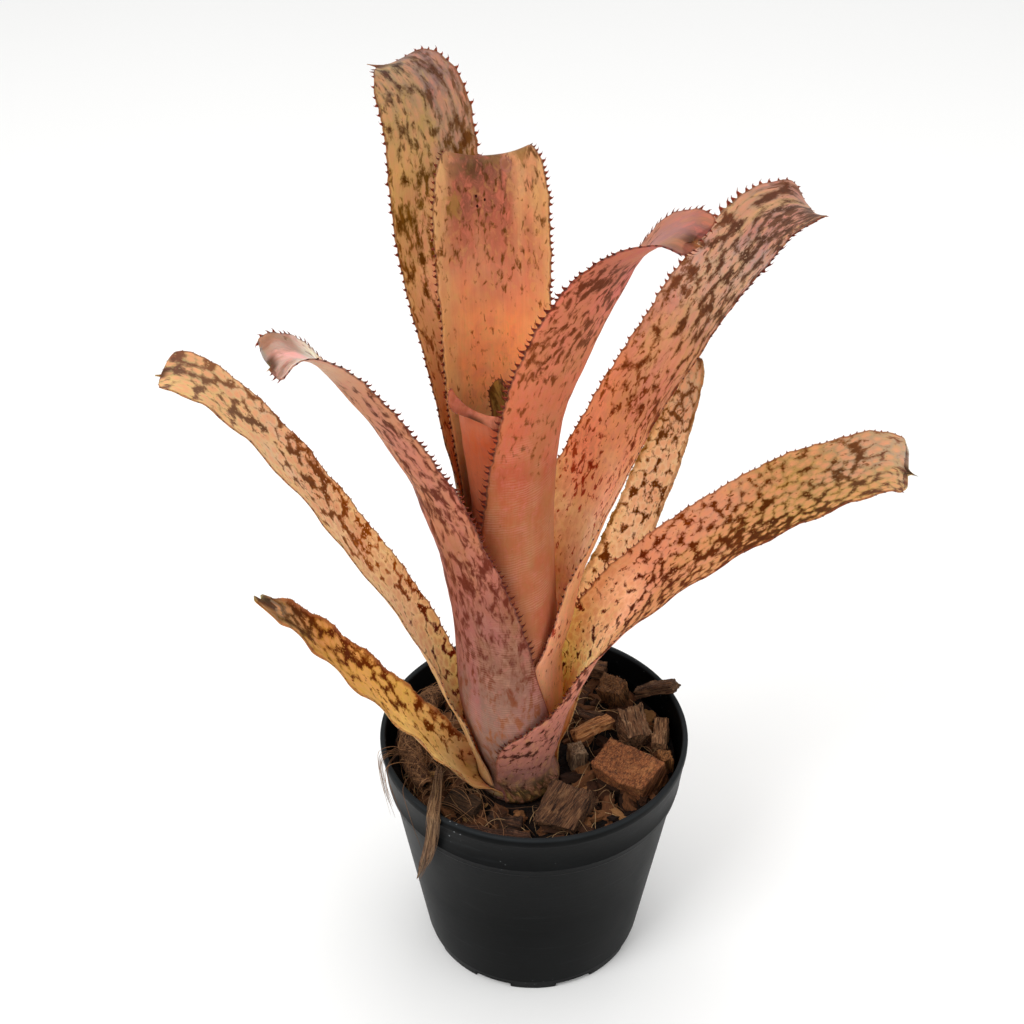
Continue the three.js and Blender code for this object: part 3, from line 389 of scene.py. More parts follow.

# Blade rows are out, height, width, wrap in degrees, roll in degrees and sideways. Then come the ground
# colours of the inner and outer face from foot to tip, with painted glow where light shines through and
# painted shade mixed into the leaves' own colours, then the blotches on them and the smaller flecks.
leaves = {
    "leaf_dying_front_left": {
        "ring": 9, "turn": 197, "sheath": [(1, 105), (5, 100)], "tip": 2.5, "spike": 0.3, "blunt": 6,
        "flank": 0, "wave": 1.1,
        "blade": [(26, 9, 36, 95, -6), (33, 19, 35, 78, -10), (43, 36, 35, 68, -12), (53, 52, 34, 62, -12),
                  (63, 68, 33, 58, -12), (74, 85, 31, 54, -12), (84, 101, 28, 50, -12),
                  (93, 115, 23, 45, -12), (101, 126, 17, 40, -12), (107, 133, 10, 30, -12)],
        "torn": [(-0.5, -1), (-0.38, 4.5), (-0.26, 2), (-0.08, -3.5), (0.08, -1.5), (0.3, 9), (0.4, 4),
                 (0.5, -2.5)],
        "spines": [(0, 0.5), (1, 0.4)], "pitch": 3.6, "spinesFrom": 18,
        "inside": [(0, "#A86446"), (0.07, "#DF9A68"), (0.15, "#FFD698"), (0.4, "#FDD57E"), (0.6, "#EABB66"),
                   (0.78, "#B18135"), (0.88, "#735722"), (0.95, "#685D4A"), (1, "#89857B")],
        "outside": [(0, "#A47C66"), (0.2, "#B2885E"), (0.6, "#A4864A"), (1, "#816E50")],
        "blot": [(0, "#6A2A07"), (0.2, "#7D3F00"), (0.7, "#6A3000"), (0.88, "#5A3203"), (1, "#593C1B")],
        "net": {"size": 5, "stretch": 1.35, "wander": 0.9, "lean": -0.016, "soft": 0.14,
                "cover": [(0, 0.1), (0.2, 0.22), (0.55, 0.3), (0.82, 0.42), (0.9, 0.6), (0.95, 0.3),
                          (1, 0.2)]},
        "fleck": {"size": 2, "stretch": 1.7, "soft": 0.03, "cover": [(0, 0.1), (1, 0.1)]},
        "blush": ("#B8A040", 0.4, 0), "heart": ("#E3AE74", 0.45), "rim": ("#8B5A3A", 2.2, 0.75),
        "thorn": ("#6A3A28", "#4A2A1E"), "pinkish": "#E0A066", "sallow": "#DDAE52", "scurf": 0,
        "rough": 0.62,
    },
    "leaf_slim_back_right": {
        "ring": 9, "turn": 48, "sheath": [(1, 80), (14, 72)], "tip": 8, "spike": 2.5, "blunt": 2.2,
        "flank": 0.25,
        "blade": [(27, 26, 36, 85), (37, 38, 32, 80), (49, 52, 29, 78), (64, 67, 28, 75), (79, 82, 27, 70),
                  (93, 98, 26, 65), (106, 115, 25, 60), (117, 131, 23, 55), (128, 148, 19, 50),
                  (134, 159, 15, 45), (139, 169, 10, 40)],
        "spines": [(0, 0.8), (0.3, 0.5), (1, 0.4)], "pitch": 3.6, "spinesFrom": 20,
        "inside": [(0, "#F7A484"), (0.25, "#FEC59C"), (0.45, "#FDD3AE"), (0.65, "#F1CEAF"),
                   (0.82, "#EBCAA6"), (0.93, "#BBA68B"), (1, "#9F866A")],
        "outside": [(0, "#A0664D"), (0.5, "#B38D65"), (1, "#967A5B")],
        "blot": [(0, "#602603"), (0.4, "#613300"), (0.75, "#653C03"), (1, "#895F3A")],
        "net": {"size": 3.8, "stretch": 1.35, "lean": 0.008, "soft": 0.12,
                "cover": [(0, 0.16), (0.3, 0.24), (0.6, 0.26), (0.85, 0.34), (1, 0.42)]},
        "fleck": {"size": 1.7, "stretch": 1.9, "soft": 0.03, "cover": [(0, 0.08), (1, 0.12)]},
        "blush": ("#B7A650", 0.25, 0), "heart": ("#E3A27C", 0.5), "rim": ("#75592C", 2.4, 0.6),
        "thorn": ("#6A3A28", "#4A2A1E"), "pinkish": "#E39E74", "sallow": "#DBB070", "scurf": 0,
        "rough": 0.55,
    },
    "leaf_left": {
        "ring": 8, "turn": 178, "sheath": [(4, 112), (25, 84), (42, 82)], "tip": 12, "spike": 2.5,
        "blunt": 2.6, "flank": 0.2, "wave": 0.5,
        "blade": [(33, 58, 38, 78), (40, 80, 37, 72), (51, 107, 36, 64), (61, 126, 36, 58),
                  (72, 146, 36, 54), (82, 165, 35, 50), (92, 182, 35, 46), (103, 199, 34, 42),
                  (113, 212, 33, 38), (123, 222, 32, 35), (132, 227.5, 34, 36), (140, 228, 35, 38)],
        "spines": [(0, 1.9), (0.22, 1.6), (0.35, 0.7), (0.6, 0.8), (1, 0.5)], "pitch": 4.4,
        "spinesFrom": 26,
        "inside": [(0, "#F3887B"), (0.2, "#FFE1A5"), (0.35, "#FFD6AB"), (0.5, "#FFD7A7"), (0.65, "#EEC99F"),
                   (0.8, "#CEB798"), (0.9, "#B1A97D"), (1, "#787A4D")],
        "outside": [(0, "#7B4B45"), (0.2, "#9E6655"), (0.6, "#B2926D"), (1, "#AA9A6D")],
        "blot": [(0, "#82310C"), (0.3, "#591600"), (0.5, "#A95A00"), (0.65, "#844A0F"), (0.8, "#7D5535"),
                 (0.92, "#8E694A"), (1, "#745242")],
        "net": {"size": 4.5, "stretch": 1.25, "warp": 0.75, "wander": 0.7, "lean": -0.01, "soft": 0.12,
                "cover": [(0, 0.06), (0.2, 0.14), (0.4, 0.24), (0.6, 0.3), (0.85, 0.34), (0.93, 0.5),
                          (1, 0.45)]},
        "fleck": {"size": 1.9, "stretch": 1.8, "soft": 0.03, "cover": [(0, 0.07), (0.5, 0.09), (1, 0.12)]},
        "blush": ("#E0BC80", 0.6, 0.011), "heart": ("#DF9A76", 0.6), "rim": ("#6A4030", 0.8, 0.7),
        "pinkish": "#E29874", "sallow": "#EFC67E", "scurf": 0.1,
    },
    "leaf_right": {
        "ring": 7, "turn": 355, "sheath": [(7, 238), (28, 216), (42, 180)], "tip": 6, "spike": 3.2,
        "blunt": 4, "flank": 0.5, "wave": 0.5,
        "apron": [(20, -1.5, 118), (19.9, 2.5, 140), (18.4, 5.6, 190)], "apronTurn": -42,
        "blade": [(31, 58, 56, 116, 4), (38, 76, 52, 104, 8), (47, 93, 49, 92, 10), (60, 110, 48, 82, 12),
                  (74, 125, 47, 74, 12), (89, 139, 46, 66, 12), (104, 151.5, 45, 60, 12),
                  (118, 162, 44, 54, 12), (131, 170, 43, 48, 12), (143, 176, 41, 44, 10),
                  (154, 181, 39, 40, 10), (164, 183, 36, 38, 10), (171, 180, 33, 36, 10)],
        "torn": [(-0.5, -2), (-0.4, 0.3), (-0.2, -1.6), (0, 2.2), (0.2, -1.6), (0.4, 0.6), (0.5, -1.6)],
        "spines": [(0, 2), (0.3, 2.4), (0.42, 1.6), (0.55, 1), (1, 0.7)], "pitch": 3.7, "spinesFrom": 30,
        "inside": [(0, "#F2946E"), (0.25, "#FFEFAB"), (0.4, "#F5C29C"), (0.52, "#CA9273"),
                   (0.66, "#B78B71"), (0.8, "#957F4E"), (0.93, "#96876C"), (1, "#AA9985")],
        "outside": [(0, "#342811"), (0.02, "#5F4534"), (0.06, "#9C6961"), (0.12, "#AD6B5E"),
                    (0.25, "#B27062"), (0.45, "#BC795F"), (0.7, "#B4805B"), (1, "#B18363")],
        "blot": [(0, "#2B0E04"), (0.3, "#470D00"), (0.6, "#662B00"), (0.8, "#512B00"), (0.92, "#684525"),
                 (1, "#764F3F")],
        "net": {"size": 3.8, "stretch": 1.35, "warp": 0.9, "wander": 0.7, "lean": -0.008, "soft": 0.13,
                "cover": [(0, 0.16), (0.3, 0.24), (0.42, 0.36), (0.7, 0.44), (0.9, 0.44), (1, 0.36)]},
        "fleck": {"size": 2, "stretch": 1.9, "soft": 0.03, "cover": [(0, 0.12), (0.4, 0.12), (1, 0.12)]},
        "blush": ("#AE9444", 0.5, -0.012), "heart": ("#D9936E", 0.45), "rim": ("#6A3A2A", 0.8, 0.65),
        "pinkish": "#CC846A", "sallow": "#CE9C5C", "scurf": 0.35, "pinkBack": True,
    },
    "leaf_front_left": {
        "ring": 6, "turn": 220, "sheath": [(10, 250), (42, 200), (66, 165), (96, 142)], "tip": 5,
        "spike": 1, "blunt": 3.5,
        "apron": [(18.9, -1.5, 130), (18.9, 2.5, 140), (17.6, 6.5, 180)], "apronTurn": 10,
        "blade": [(27, 120, 54, 118), (30, 140, 48, 98), (35, 160, 43, 84), (41, 182, 41, 78),
                  (50, 203, 38, 76), (59, 222, 37, 74), (68, 238, 36, 72), (76, 252, 35, 68),
                  (84, 264, 33, 64), (92, 272, 31, 60), (99, 275, 27, 55, 0, -1),
                  (104, 272, 25, 50, 0, -2)],
        "torn": [(-0.5, -1.5), (-0.35, 0.5), (-0.1, -0.5), (0.1, 0.6), (0.3, 0.4), (0.5, 1.5)],
        "spines": [(0, 1.8), (0.3, 2.4), (0.7, 2.2), (1, 1.7)], "pitch": 3.4, "spinesFrom": 88,
        "inside": [(0, "#AB6C5C"), (0.5, "#C6876E"), (0.85, "#EBDFC0"), (0.93, "#FDFAE2"),
                   (0.975, "#C7C4B6"), (1, "#8F846F")],
        "outside": [(0, "#302813"), (0.06, "#534230"), (0.14, "#886B5F"), (0.28, "#895D4B"),
                    (0.42, "#8F5D3E"), (0.56, "#B07354"), (0.72, "#B27E5C"), (0.86, "#AE7E60"),
                    (0.95, "#B99A7E"), (1, "#B28F7C")],
        "blot": [(0, "#2D2214"), (0.15, "#945636"), (0.3, "#5B2316"), (0.5, "#5A1F0D"), (0.7, "#4E1B0A"),
                 (0.88, "#4D220D"), (1, "#765A4B")],
        "net": {"size": 4, "stretch": 2.4, "warp": 0.9, "soft": 0.15,
                "cover": [(0, 0.03), (0.3, 0.05), (0.6, 0.08), (0.9, 0.03), (1, 0.01)]},
        "fleck": {"size": 2.6, "stretch": 2.7, "soft": 0.07,
                  "cover": [(0, 0.14), (0.3, 0.34), (0.6, 0.42), (0.88, 0.34), (0.93, 0.02), (1, 0.01)]},
        "blush": ("#B5626A", 0.3, 0), "heart": ("#C88A78", 0.2), "rim": ("#5E2E28", 0.6, 0.65),
        "pinkish": "#B0685C", "sallow": "#AC806A", "scurf": 1, "scurfEnd": 0.34, "plainBack": 0,
        "marks": [(1, 294, 5, "#E29C98", "patch"), (-12, 301, 3.5, "#80604E", "patch"),
                  (9, 303, 3, "#7A5C4A", "patch")],
    },
    "leaf_back_right": {
        "ring": 5, "turn": 30, "sheath": [(14, 285), (42, 245), (78, 195)], "tip": 12, "spike": 1.6,
        "blunt": 3, "flank": 0.06,
        "blade": [(30, 98, 70, 168), (34, 115, 64, 152), (42, 134, 57, 124), (53, 154, 51, 102),
                  (64, 174, 47, 90), (76, 192, 45, 80), (89, 208, 44, 72), (101, 223, 44, 65),
                  (113, 236, 44, 58), (126, 248, 45, 52), (138, 257, 45, 48), (149, 260.5, 47, 50, 0, -3),
                  (156, 258.5, 46, 52, 0, -5)],
        "skew": (0.36, 0.2, 255),
        "spines": [(0, 2), (0.4, 1.9), (0.5, 0.9), (0.75, 1.4), (0.86, 3.4), (0.94, 2.6), (1, 0.8)],
        "pitch": 3.7, "spinesFrom": 70,
        "inside": [(0, "#FFA67F"), (0.25, "#FFC7A4"), (0.42, "#FFCEA9"), (0.52, "#FFA283"),
                   (0.62, "#D08666"), (0.72, "#A67A67"), (0.82, "#A08C82"), (0.92, "#816C65"),
                   (1, "#866B5F")],
        "outside": [(0, "#C98563"), (0.15, "#F79571"), (0.35, "#FF9F7A"), (0.6, "#E69E7A"),
                    (0.8, "#E5AD81"), (1, "#D29A7A")],
        "blot": [(0, "#741804"), (0.4, "#952005"), (0.6, "#723307"), (0.72, "#663815"), (0.85, "#5B3E2C"),
                 (1, "#5F402F")],
        "net": {"size": 3.6, "stretch": 1.9, "warp": 0.95, "wander": 0.7, "lean": -0.002, "soft": 0.14,
                "cover": [(0, 0.01), (0.4, 0.03), (0.5, 0.09), (0.6, 0.26), (0.75, 0.44), (0.9, 0.48),
                          (1, 0.4)]},
        "fleck": {"size": 1.9, "stretch": 2.4, "soft": 0.035,
                  "cover": [(0, 0.04), (0.35, 0.12), (0.5, 0.2), (0.7, 0.22), (1, 0.22)]},
        "blush": ("#C0A85C", 0.35, 0), "heart": ("#CE8A74", 0.35), "rim": ("#6A3428", 0.7, 0.6),
        "pinkish": "#C47866", "sallow": "#CE9E66", "scurf": 0.4, "rough": 0.48,
    },
    "leaf_front_centre": {
        "ring": 4, "turn": 325, "sheath": [(17, 290), (90, 210), (150, 168)], "tip": 5, "spike": 1,
        "blunt": 4,
        "blade": [(22.5, 172, 58, 142), (24, 190, 55, 126), (28, 210, 54, 110), (35, 231, 55, 100, -5),
                  (43, 251, 54, 91, -7), (52, 270, 53, 83, -7), (61, 287, 50, 76, -5),
                  (70, 299, 46, 70, -3), (79, 307, 41, 62, -1), (87, 311, 34, 56), (91.5, 310.5, 31, 52)],
        "torn": [(-0.5, 3.5), (-0.4, 1.2), (-0.2, -0.6), (0, 0.4), (0.2, -0.4), (0.38, 0.6), (0.5, 1.6)],
        "spines": [(0, 2.3), (0.4, 3), (0.8, 2.5), (1, 1.6)], "pitch": 3.6, "spinesFrom": 112,
        "inside": [(0, "#9E573F"), (0.6, "#AF6853"), (0.88, "#9C6E65"), (0.95, "#926763"), (1, "#704F47")],
        "outside": [(0, "#9A6247"), (0.25, "#B35E40"), (0.42, "#AF643F"), (0.52, "#AC5639"),
                    (0.62, "#BD6548"), (0.74, "#BD7453"), (0.84, "#BF6A5B"), (0.92, "#AE5D58"),
                    (1, "#9B5B5B")],
        "blot": [(0, "#AA6635"), (0.6, "#6B370C"), (0.8, "#5A2702"), (0.88, "#522306"), (1, "#52291C")],
        "net": {"size": 4.2, "stretch": 2.3, "wander": 0.8, "lean": -0.004, "soft": 0.15,
                "cover": [(0, 0.004), (0.55, 0.006), (0.7, 0.05), (0.85, 0.12), (0.95, 0.02), (1, 0.01)]},
        "fleck": {"size": 2.3, "stretch": 2.6, "soft": 0.06,
                  "cover": [(0, 0.004), (0.5, 0.04), (0.62, 0.2), (0.8, 0.42), (0.9, 0.36), (0.94, 0.03),
                            (1, 0.01)]},
        "blush": ("#A87448", 0.45, 0), "heart": ("#C27860", 0.2), "rim": ("#5C2822", 0.7, 0.6),
        "pinkish": "#C26A5C", "sallow": "#A8784C", "scurf": 1, "scurfEnd": 0.62, "bandSlant": -0.5,
        "plainBack": 0,
    },
    "leaf_tall_back_left": {
        "ring": 3, "turn": 106, "sheath": [(20, 290), (110, 240), (165, 210)], "tip": 14, "spike": 7,
        "blunt": 1.7,
        "blade": [(25.5, 184, 59, 163, 0, 0.5), (29, 204, 50, 132, 0, 3), (36, 226, 44, 104, 0, 6),
                  (46, 250, 41, 84, 0, 9), (53, 270, 40, 74, 0, 10), (59, 287, 40, 66, 0, 9),
                  (64, 302, 40, 60, 0, 8), (69, 315, 39, 54, 0, 8), (75, 324, 37, 48, 0, 11),
                  (82, 329, 32, 44, 0, 16), (88, 329, 25, 42, 0, 21)],
        "spines": [(0, 1.6), (0.5, 1.9), (1, 1.6)], "pitch": 4.1, "spinesFrom": 120,
        "inside": [(0, "#9E4C3A"), (0.4, "#CE774E"), (0.58, "#DC9D7F"), (0.7, "#D9AA80"), (0.8, "#C9A374"),
                   (0.88, "#8B7862"), (0.94, "#746562"), (1, "#776866")],
        "outside": [(0, "#7F6353"), (0.4, "#966757"), (0.7, "#966E59"), (1, "#8E7463")],
        "blot": [(0, "#71391B"), (0.6, "#6F3C0F"), (0.8, "#5F4609"), (0.88, "#473214"), (1, "#513D34")],
        "net": {"size": 3.4, "stretch": 2.8, "warp": 0.9, "wander": 0.5, "soft": 0.16,
                "cover": [(0, 0.02), (0.5, 0.14), (0.7, 0.24), (0.92, 0.28), (1, 0.2)]},
        "fleck": {"size": 1.9, "stretch": 3, "soft": 0.055,
                  "cover": [(0, 0.05), (0.5, 0.2), (0.8, 0.28), (1, 0.18)]},
        "blush": ("#AA9450", 0.45, 0.006), "heart": ("#C98C6E", 0.3), "rim": ("#5E3222", 0.8, 0.65),
        "pinkish": "#C07A66", "sallow": "#B09850", "scurf": 0.4, "rough": 0.48,
    },
    "leaf_upright_back": {
        "ring": 2, "turn": 92, "sheath": [(23, 300), (110, 250), (160, 175)], "tip": 14, "spike": 3,
        "blunt": 2.5,
        "blade": [(17.8, 182, 52, 155), (18.5, 200, 51, 124), (20.5, 220, 50, 102),
                  (23.5, 240, 50, 86, 0, -1), (27, 259, 50, 72, 0, -1), (31, 276, 50, 62, 0, -1),
                  (36, 290, 48, 54, 0, -1.5), (42, 299, 44, 48, 0, -1), (48, 301, 38, 44),
                  (53, 297, 32, 42)],
        "spines": [(0, 1.6), (0.5, 1.8), (1, 1.6)], "pitch": 3.1, "spinesFrom": 130,
        "inside": [(0, "#D94D31"), (0.4, "#FF764C"), (0.55, "#FFAD75"), (0.68, "#FA955D"), (0.8, "#C27B5E"),
                   (0.88, "#A16049"), (0.94, "#774838"), (0.975, "#79463A"), (0.99, "#914F46"),
                   (1, "#9C5E54")],
        "outside": [(0, "#7F6353"), (0.5, "#9E6A5D"), (0.8, "#966659"), (1, "#8E6A65")],
        "blot": [(0, "#9C330C"), (0.7, "#723A07"), (0.85, "#593508"), (1, "#402810")],
        "net": {"size": 4.4, "stretch": 2.4, "soft": 0.09,
                "cover": [(0, 0.004), (0.7, 0.006), (0.9, 0.05), (1, 0.02)]},
        "fleck": {"size": 2, "stretch": 2.2, "soft": 0.06,
                  "cover": [(0, 0.004), (0.55, 0.04), (0.8, 0.14), (0.95, 0.2), (1, 0.1)]},
        "blush": ("#D4AC74", 0.62, -0.001), "heart": ("#D0765A", 0.2), "rim": ("#5E2A20", 0.6, 0.6),
        "pinkish": "#D87C62", "sallow": "#CFA05C", "scurf": 0.3, "sides": 0.0006, "rough": 0.42,
        "marks": [(6.5, 280, 4.4, "#3A2C10", "patch"), (-3, 284, 3.2, "#5E4424", "patch"),
                  (-7.5, 278, 1.2, "#7A4A3A", "patch"), (-7.5, 278, 2, "#8E5E50", "ring"),
                  (16, 264, 3.4, "#8A6A34", "patch"), (14, 279, 3, "#6A4A34", "patch"),
                  (-15, 281, 3, "#6E4E24", "patch"), (6.1, 266.6, 0.55, "#200A06", "dot"),
                  (2.6, 265, 0.5, "#200A06", "dot"), (5.7, 262.4, 0.55, "#200A06", "dot")],
    },
    "leaf_inner_folded": {
        "ring": 1, "turn": 20, "sheath": [(27, 300), (110, 250), (165, 180)], "tip": 12, "spike": 3,
        "blunt": 2,
        "blade": [(13, 182, 38, 150), (10, 196, 32, 130, 0, 3), (7, 208, 29, 105, 0, 6),
                  (5, 217, 27, 85, 0, 8)],
        "spines": [(0, 0.7), (1, 0.9)], "pitch": 2.6, "spinesFrom": 130,
        "inside": [(0, "#6D3720"), (0.7, "#89572D"), (1, "#7F592D")],
        "outside": [(0, "#7F573D"), (0.7, "#8E5D37"), (1, "#865D2D")],
        "blot": [(0, "#5E2A14"), (1, "#5E4218")],
        "net": {"size": 4, "stretch": 1.8, "soft": 0.08, "cover": [(0, 0.1), (1, 0.3)]},
        "fleck": {"size": 1.6, "stretch": 2, "soft": 0.05, "cover": [(0, 0.1), (1, 0.2)]},
        "blush": ("#8A7A34", 0.5, 0), "heart": ("#A86A40", 0.2), "rim": ("#4E2A18", 0.9, 0.8),
        "pinkish": "#8E5030", "sallow": "#86702E", "scurf": 0.2,
    },
    "leaf_heart": {
        "ring": 0, "turn": 250, "sheath": [(30, 300), (110, 260), (165, 190)], "tip": 4, "spike": 0.5,
        "blunt": 2.2,
        "blade": [(13, 185, 45, 172, 0, -1), (14, 200, 40, 156, 0, -2), (15.6, 211, 33, 118, 0, -2),
                  (17.3, 216.8, 28, 82, 0, -2), (19.2, 218, 26, 66, 0, -2), (20.4, 216.8, 24.5, 58, 0, -2),
                  (20, 215.2, 23, 54, 0, -2)],
        "slant": (-0.3, 150), "spines": [(0, 0.4), (1, 0.5)], "pitch": 3, "spinesFrom": 130,
        "inside": [(0, "#98432D"), (0.8, "#A55A40"), (0.92, "#A55C44"), (1, "#92523D")],
        "outside": [(0, "#D06945"), (0.7, "#FF9168"), (0.86, "#DD6D3F"), (0.93, "#D67E58"), (1, "#AC6447")],
        "blot": [(0, "#B32B18"), (1, "#B35C36")],
        "net": {"size": 3.4, "stretch": 2, "wander": 0.3, "soft": 0.08, "cover": [(0, 0.004), (1, 0.004)]},
        "fleck": {"size": 1.5, "stretch": 2, "soft": 0.05, "cover": [(0, 0.004), (0.9, 0.004), (1, 0.06)]},
        "blush": ("#D88A6A", 0.4, 0), "heart": ("#CE7E6C", 0.2), "rim": ("#7A3C30", 0.5, 0.6),
        "thorn": ("#5A2A24", "#3A1814"), "pinkish": "#C06C5A", "sallow": "#C8805E", "scurf": 0.3,
        "rough": 0.45,
        "marks": [(11, 188, 3, "#6A3A24", "patch"), (12, 194, 2.5, "#5E3420", "patch")],
    },
}


def ringRadius(ring, height):
    step = min(nest["steps"] - 1, int(height // nest["pitch"]))
    low, high = ease(step / nest["steps"]), ease((step + 1) / nest["steps"])
    swell = low + (high - low) * min(1, height / nest["pitch"] - step)
    return nest["radius"] + nest["step"] * ring + swell * (nest["swell"] + nest["swellStep"] * ring)


def leafCourse(leaf):
    # rows of out, height, width, wrap, roll, sideways and share of blade, from the foot to the tip
    foot = 1 + max(0, nest["outerRing"] - leaf["ring"]) * nest["step"] * nest["slope"]
    top = leaf["sheath"][-1][0]
    heights = [foot]
    for step in range(1, nest["steps"] + 1):
        if foot + 3 < step * nest["pitch"] < top - 3:
            heights.append(step * nest["pitch"])
    last = heights[-1]
    steps = math.ceil((top - last) / nest["tubePitch"])
    heights += [last + (top - last) * i / steps for i in range(1, steps + 1)]
    wraps = np.interp(heights, *zip(*leaf["sheath"]))
    rows = []
    for radius, height, wrap in leaf["apron"]:
        rows.append([radius, height, radius * math.radians(wrap), math.radians(wrap), 0, 0, 0])
    for height, wrap in zip(heights, wraps):
        radius = ringRadius(leaf["ring"], height)
        rows.append([radius, height, radius * math.radians(wrap), math.radians(wrap), 0, 0, 0])
    for i, row in enumerate(leaf["blade"]):
        out, height, width, wrap, roll, aside = list(row) + [0] * (6 - len(row))
        rows.append([out, height, width, math.radians(wrap), math.radians(roll), aside, min(1, (i + 1) / 2)])
    return np.array(rows, float), len(rows) - len(leaf["blade"]) - 1


def spline(rows, t):
    last = len(rows) - 1
    i = np.clip(np.floor(t).astype(int), 0, last - 1)
    f = (t - i)[:, None]
    p0, p1, p2, p3 = rows[np.maximum(i - 1, 0)], rows[i], rows[i + 1], rows[np.minimum(i + 2, last)]
    return 0.5 * (2 * p1 + (p2 - p0) * f + (2 * p0 - 5 * p1 + 4 * p2 - p3) * f ** 2
                  + (3 * p1 - p0 - 3 * p2 + p3) * f ** 3)


def turned(vectors, axes, angles):
    # each vector turned about its own axis
    c, s = np.cos(angles)[:, None], np.sin(angles)[:, None]
    return vectors * c + np.cross(axes, vectors) * s + axes * (vectors * axes).sum(1, keepdims=True) * (1 - c)


def ripple(along, place, seed):
    # slow swells over a leaf, between about -1 and 1
    draw = random.Random(seed)
    total = 0
    for reach, weight in ((46, 0.5), (23, 0.3), (11, 0.2)):
        a, b = draw.uniform(0, 6.3), draw.uniform(0, 6.3)
        lengthwise = weight * np.sin(along / reach * 6.3 + a + 2.2 * place)
        total = total + lengthwise * np.cos(place * (4 + 40 / reach) + b)
    return total


def leafSections(leaf):
    rows, sheathRows = leafCourse(leaf)
    last = len(rows) - 1
    out = np.array([math.cos(math.radians(leaf["turn"])), math.sin(math.radians(leaf["turn"])), 0])
    aside = np.array([-out[1], out[0], 0])
    up = np.array([0, 0, 1.0])

    def place(t):
        row = spline(rows, t)
        return row[:, 0:1] * out + row[:, 1:2] * up + row[:, 5:6] * aside

    dense = np.linspace(0, last, bladeShape["samples"])
    run = np.concatenate([[0], np.cumsum(np.linalg.norm(np.diff(place(dense), axis=0), axis=1))])
    total = run[-1]
    marks = np.arange(0, total - bladeShape["tipFrom"], bladeShape["pitch"])
    marks = np.concatenate([marks, total - np.array(bladeShape["tipGaps"])])
    t = np.interp(marks, run, dense)
    row, centre = spline(rows, t), place(t)
    tangent = unit(place(np.minimum(last, t + 0.02)) - place(np.maximum(0, t - 0.02)))
    across = unit(aside - tangent * (tangent @ aside)[:, None])
    share = ease(row[:, 6])[:, None]
    inner = unit(np.cross(tangent, across) * share + out * (share - 1))
    across, inner = turned(across, tangent, row[:, 4]), turned(inner, tangent, row[:, 4])
    left = np.minimum(1, np.linalg.norm(centre - place(np.array([last])), axis=1) / leaf["tip"])
    power = leaf["blunt"]
    taper = np.where(t > last - 2, (1 - (1 - left) ** power) ** (1 / power), 1)
    radius = row[:, 2] / row[:, 3]
    width = row[:, 2] * taper

    # the end spine carries on past the last section
    beyond = np.array(bladeShape["endSteps"]) * leaf["spike"]
    marks = np.concatenate([marks, total + beyond])
    centre = np.concatenate([centre, place(np.array([last])) + beyond[:, None] * tangent[-1]])
    tangent, across, inner = [np.concatenate([x, np.repeat(x[-1:], len(beyond), axis=0)])
                              for x in (tangent, across, inner)]
    width = np.concatenate([width, np.zeros(len(beyond))])
    radius = np.concatenate([radius, np.repeat(radius[-1:], len(beyond))])
    t = np.concatenate([t, np.repeat(float(last), len(beyond))])
    reach = leaf["spike"] + 3.5
    flank = np.clip((total + leaf["spike"] - marks) / reach, 0, 1)
    flank = np.where(flank < 1, leaf["flank"] * rows[-1, 2] * flank ** 1.7, 0)
    width = np.maximum(width, flank) + 0.12
    apron = leaf["apronTurn"] * (1 - ease(t / max(1, len(leaf["apron"]))))
    inBlade = np.clip((t - sheathRows) * 2, 0, 1)
    return {"t": t, "along": marks, "total": total, "centre": centre, "tangent": tangent, "across": across,
            "inner": inner, "width": width, "radius": radius, "inBlade": inBlade, "apron": np.radians(apron)}


def facePoints(s, leaf, places, side, seed):
    # a face of the leaf as stations by places, side 1 for the inner one and -1 for the outer one
    place = places[None, :]
    edge = np.abs(place) * 2
    ragged = np.where(place > 0, 1, -1) * edge ** 4 * leaf["ragged"] * s["inBlade"][:, None]
    stray = sum(np.sin(s["along"][:, None] / reach + seed * reach + (place > 0) * 2.0)
                for reach in (0.9, 1.7, 4.1))
    place = place + ragged * stray / np.maximum(s["width"], 4)[:, None]
    angle = place * (s["width"] / s["radius"])[:, None] + s["apron"][:, None]
    thick = bladeShape["thick"] + (bladeShape["margin"] - bladeShape["thick"]) * edge ** 2
    thick = thick * np.clip((s["width"] / 5)[:, None], 0.35, 1)
    wave = leaf["wave"] * s["inBlade"][:, None] * edge ** 3 * np.sin(s["t"][:, None] * 4 + (place > 0))
    fade = np.clip((s["width"] / 12)[:, None], 0, 1) * s["inBlade"][:, None]
    lift = side * thick / 2 + wave + 0.45 * fade * ripple(s["along"][:, None], place, seed)
    normal = s["inner"][:, None] * np.cos(angle)[..., None] - s["across"][:, None] * np.sin(angle)[..., None]
    radius = s["radius"][:, None, None]
    points = (s["centre"][:, None] + s["across"][:, None] * radius * np.sin(angle)[..., None]
              + s["inner"][:, None] * radius * (1 - np.cos(angle))[..., None] + normal * lift[..., None])
    up = np.array([0, 0, 1.0])
    if "slant" in leaf:  # one margin higher than the other
        rise, start = leaf["slant"]
        offset = rise * place * s["width"][:, None] * ease((s["along"] - start) / 40)[:, None]
        points = points + offset[..., None] * up
    if "skew" in leaf:  # one margin pulled out and down
        pull, drop, start = leaf["skew"]
        begin = ease((s["along"] - start) / 40)[:, None]
        offset = (np.maximum(place, 0) * s["width"][:, None] * begin)[..., None]
        points = points + s["tangent"][:, None] * offset * pull - up * offset * drop
    if "torn" in leaf:
        reach = np.interp(places, *zip(*leaf["torn"]))[None, :]
        near = ease((s["along"] - s["total"] + 8) / 8)[:, None]
        points = points + s["tangent"][:, None] * (reach * near)[..., None]
    return points


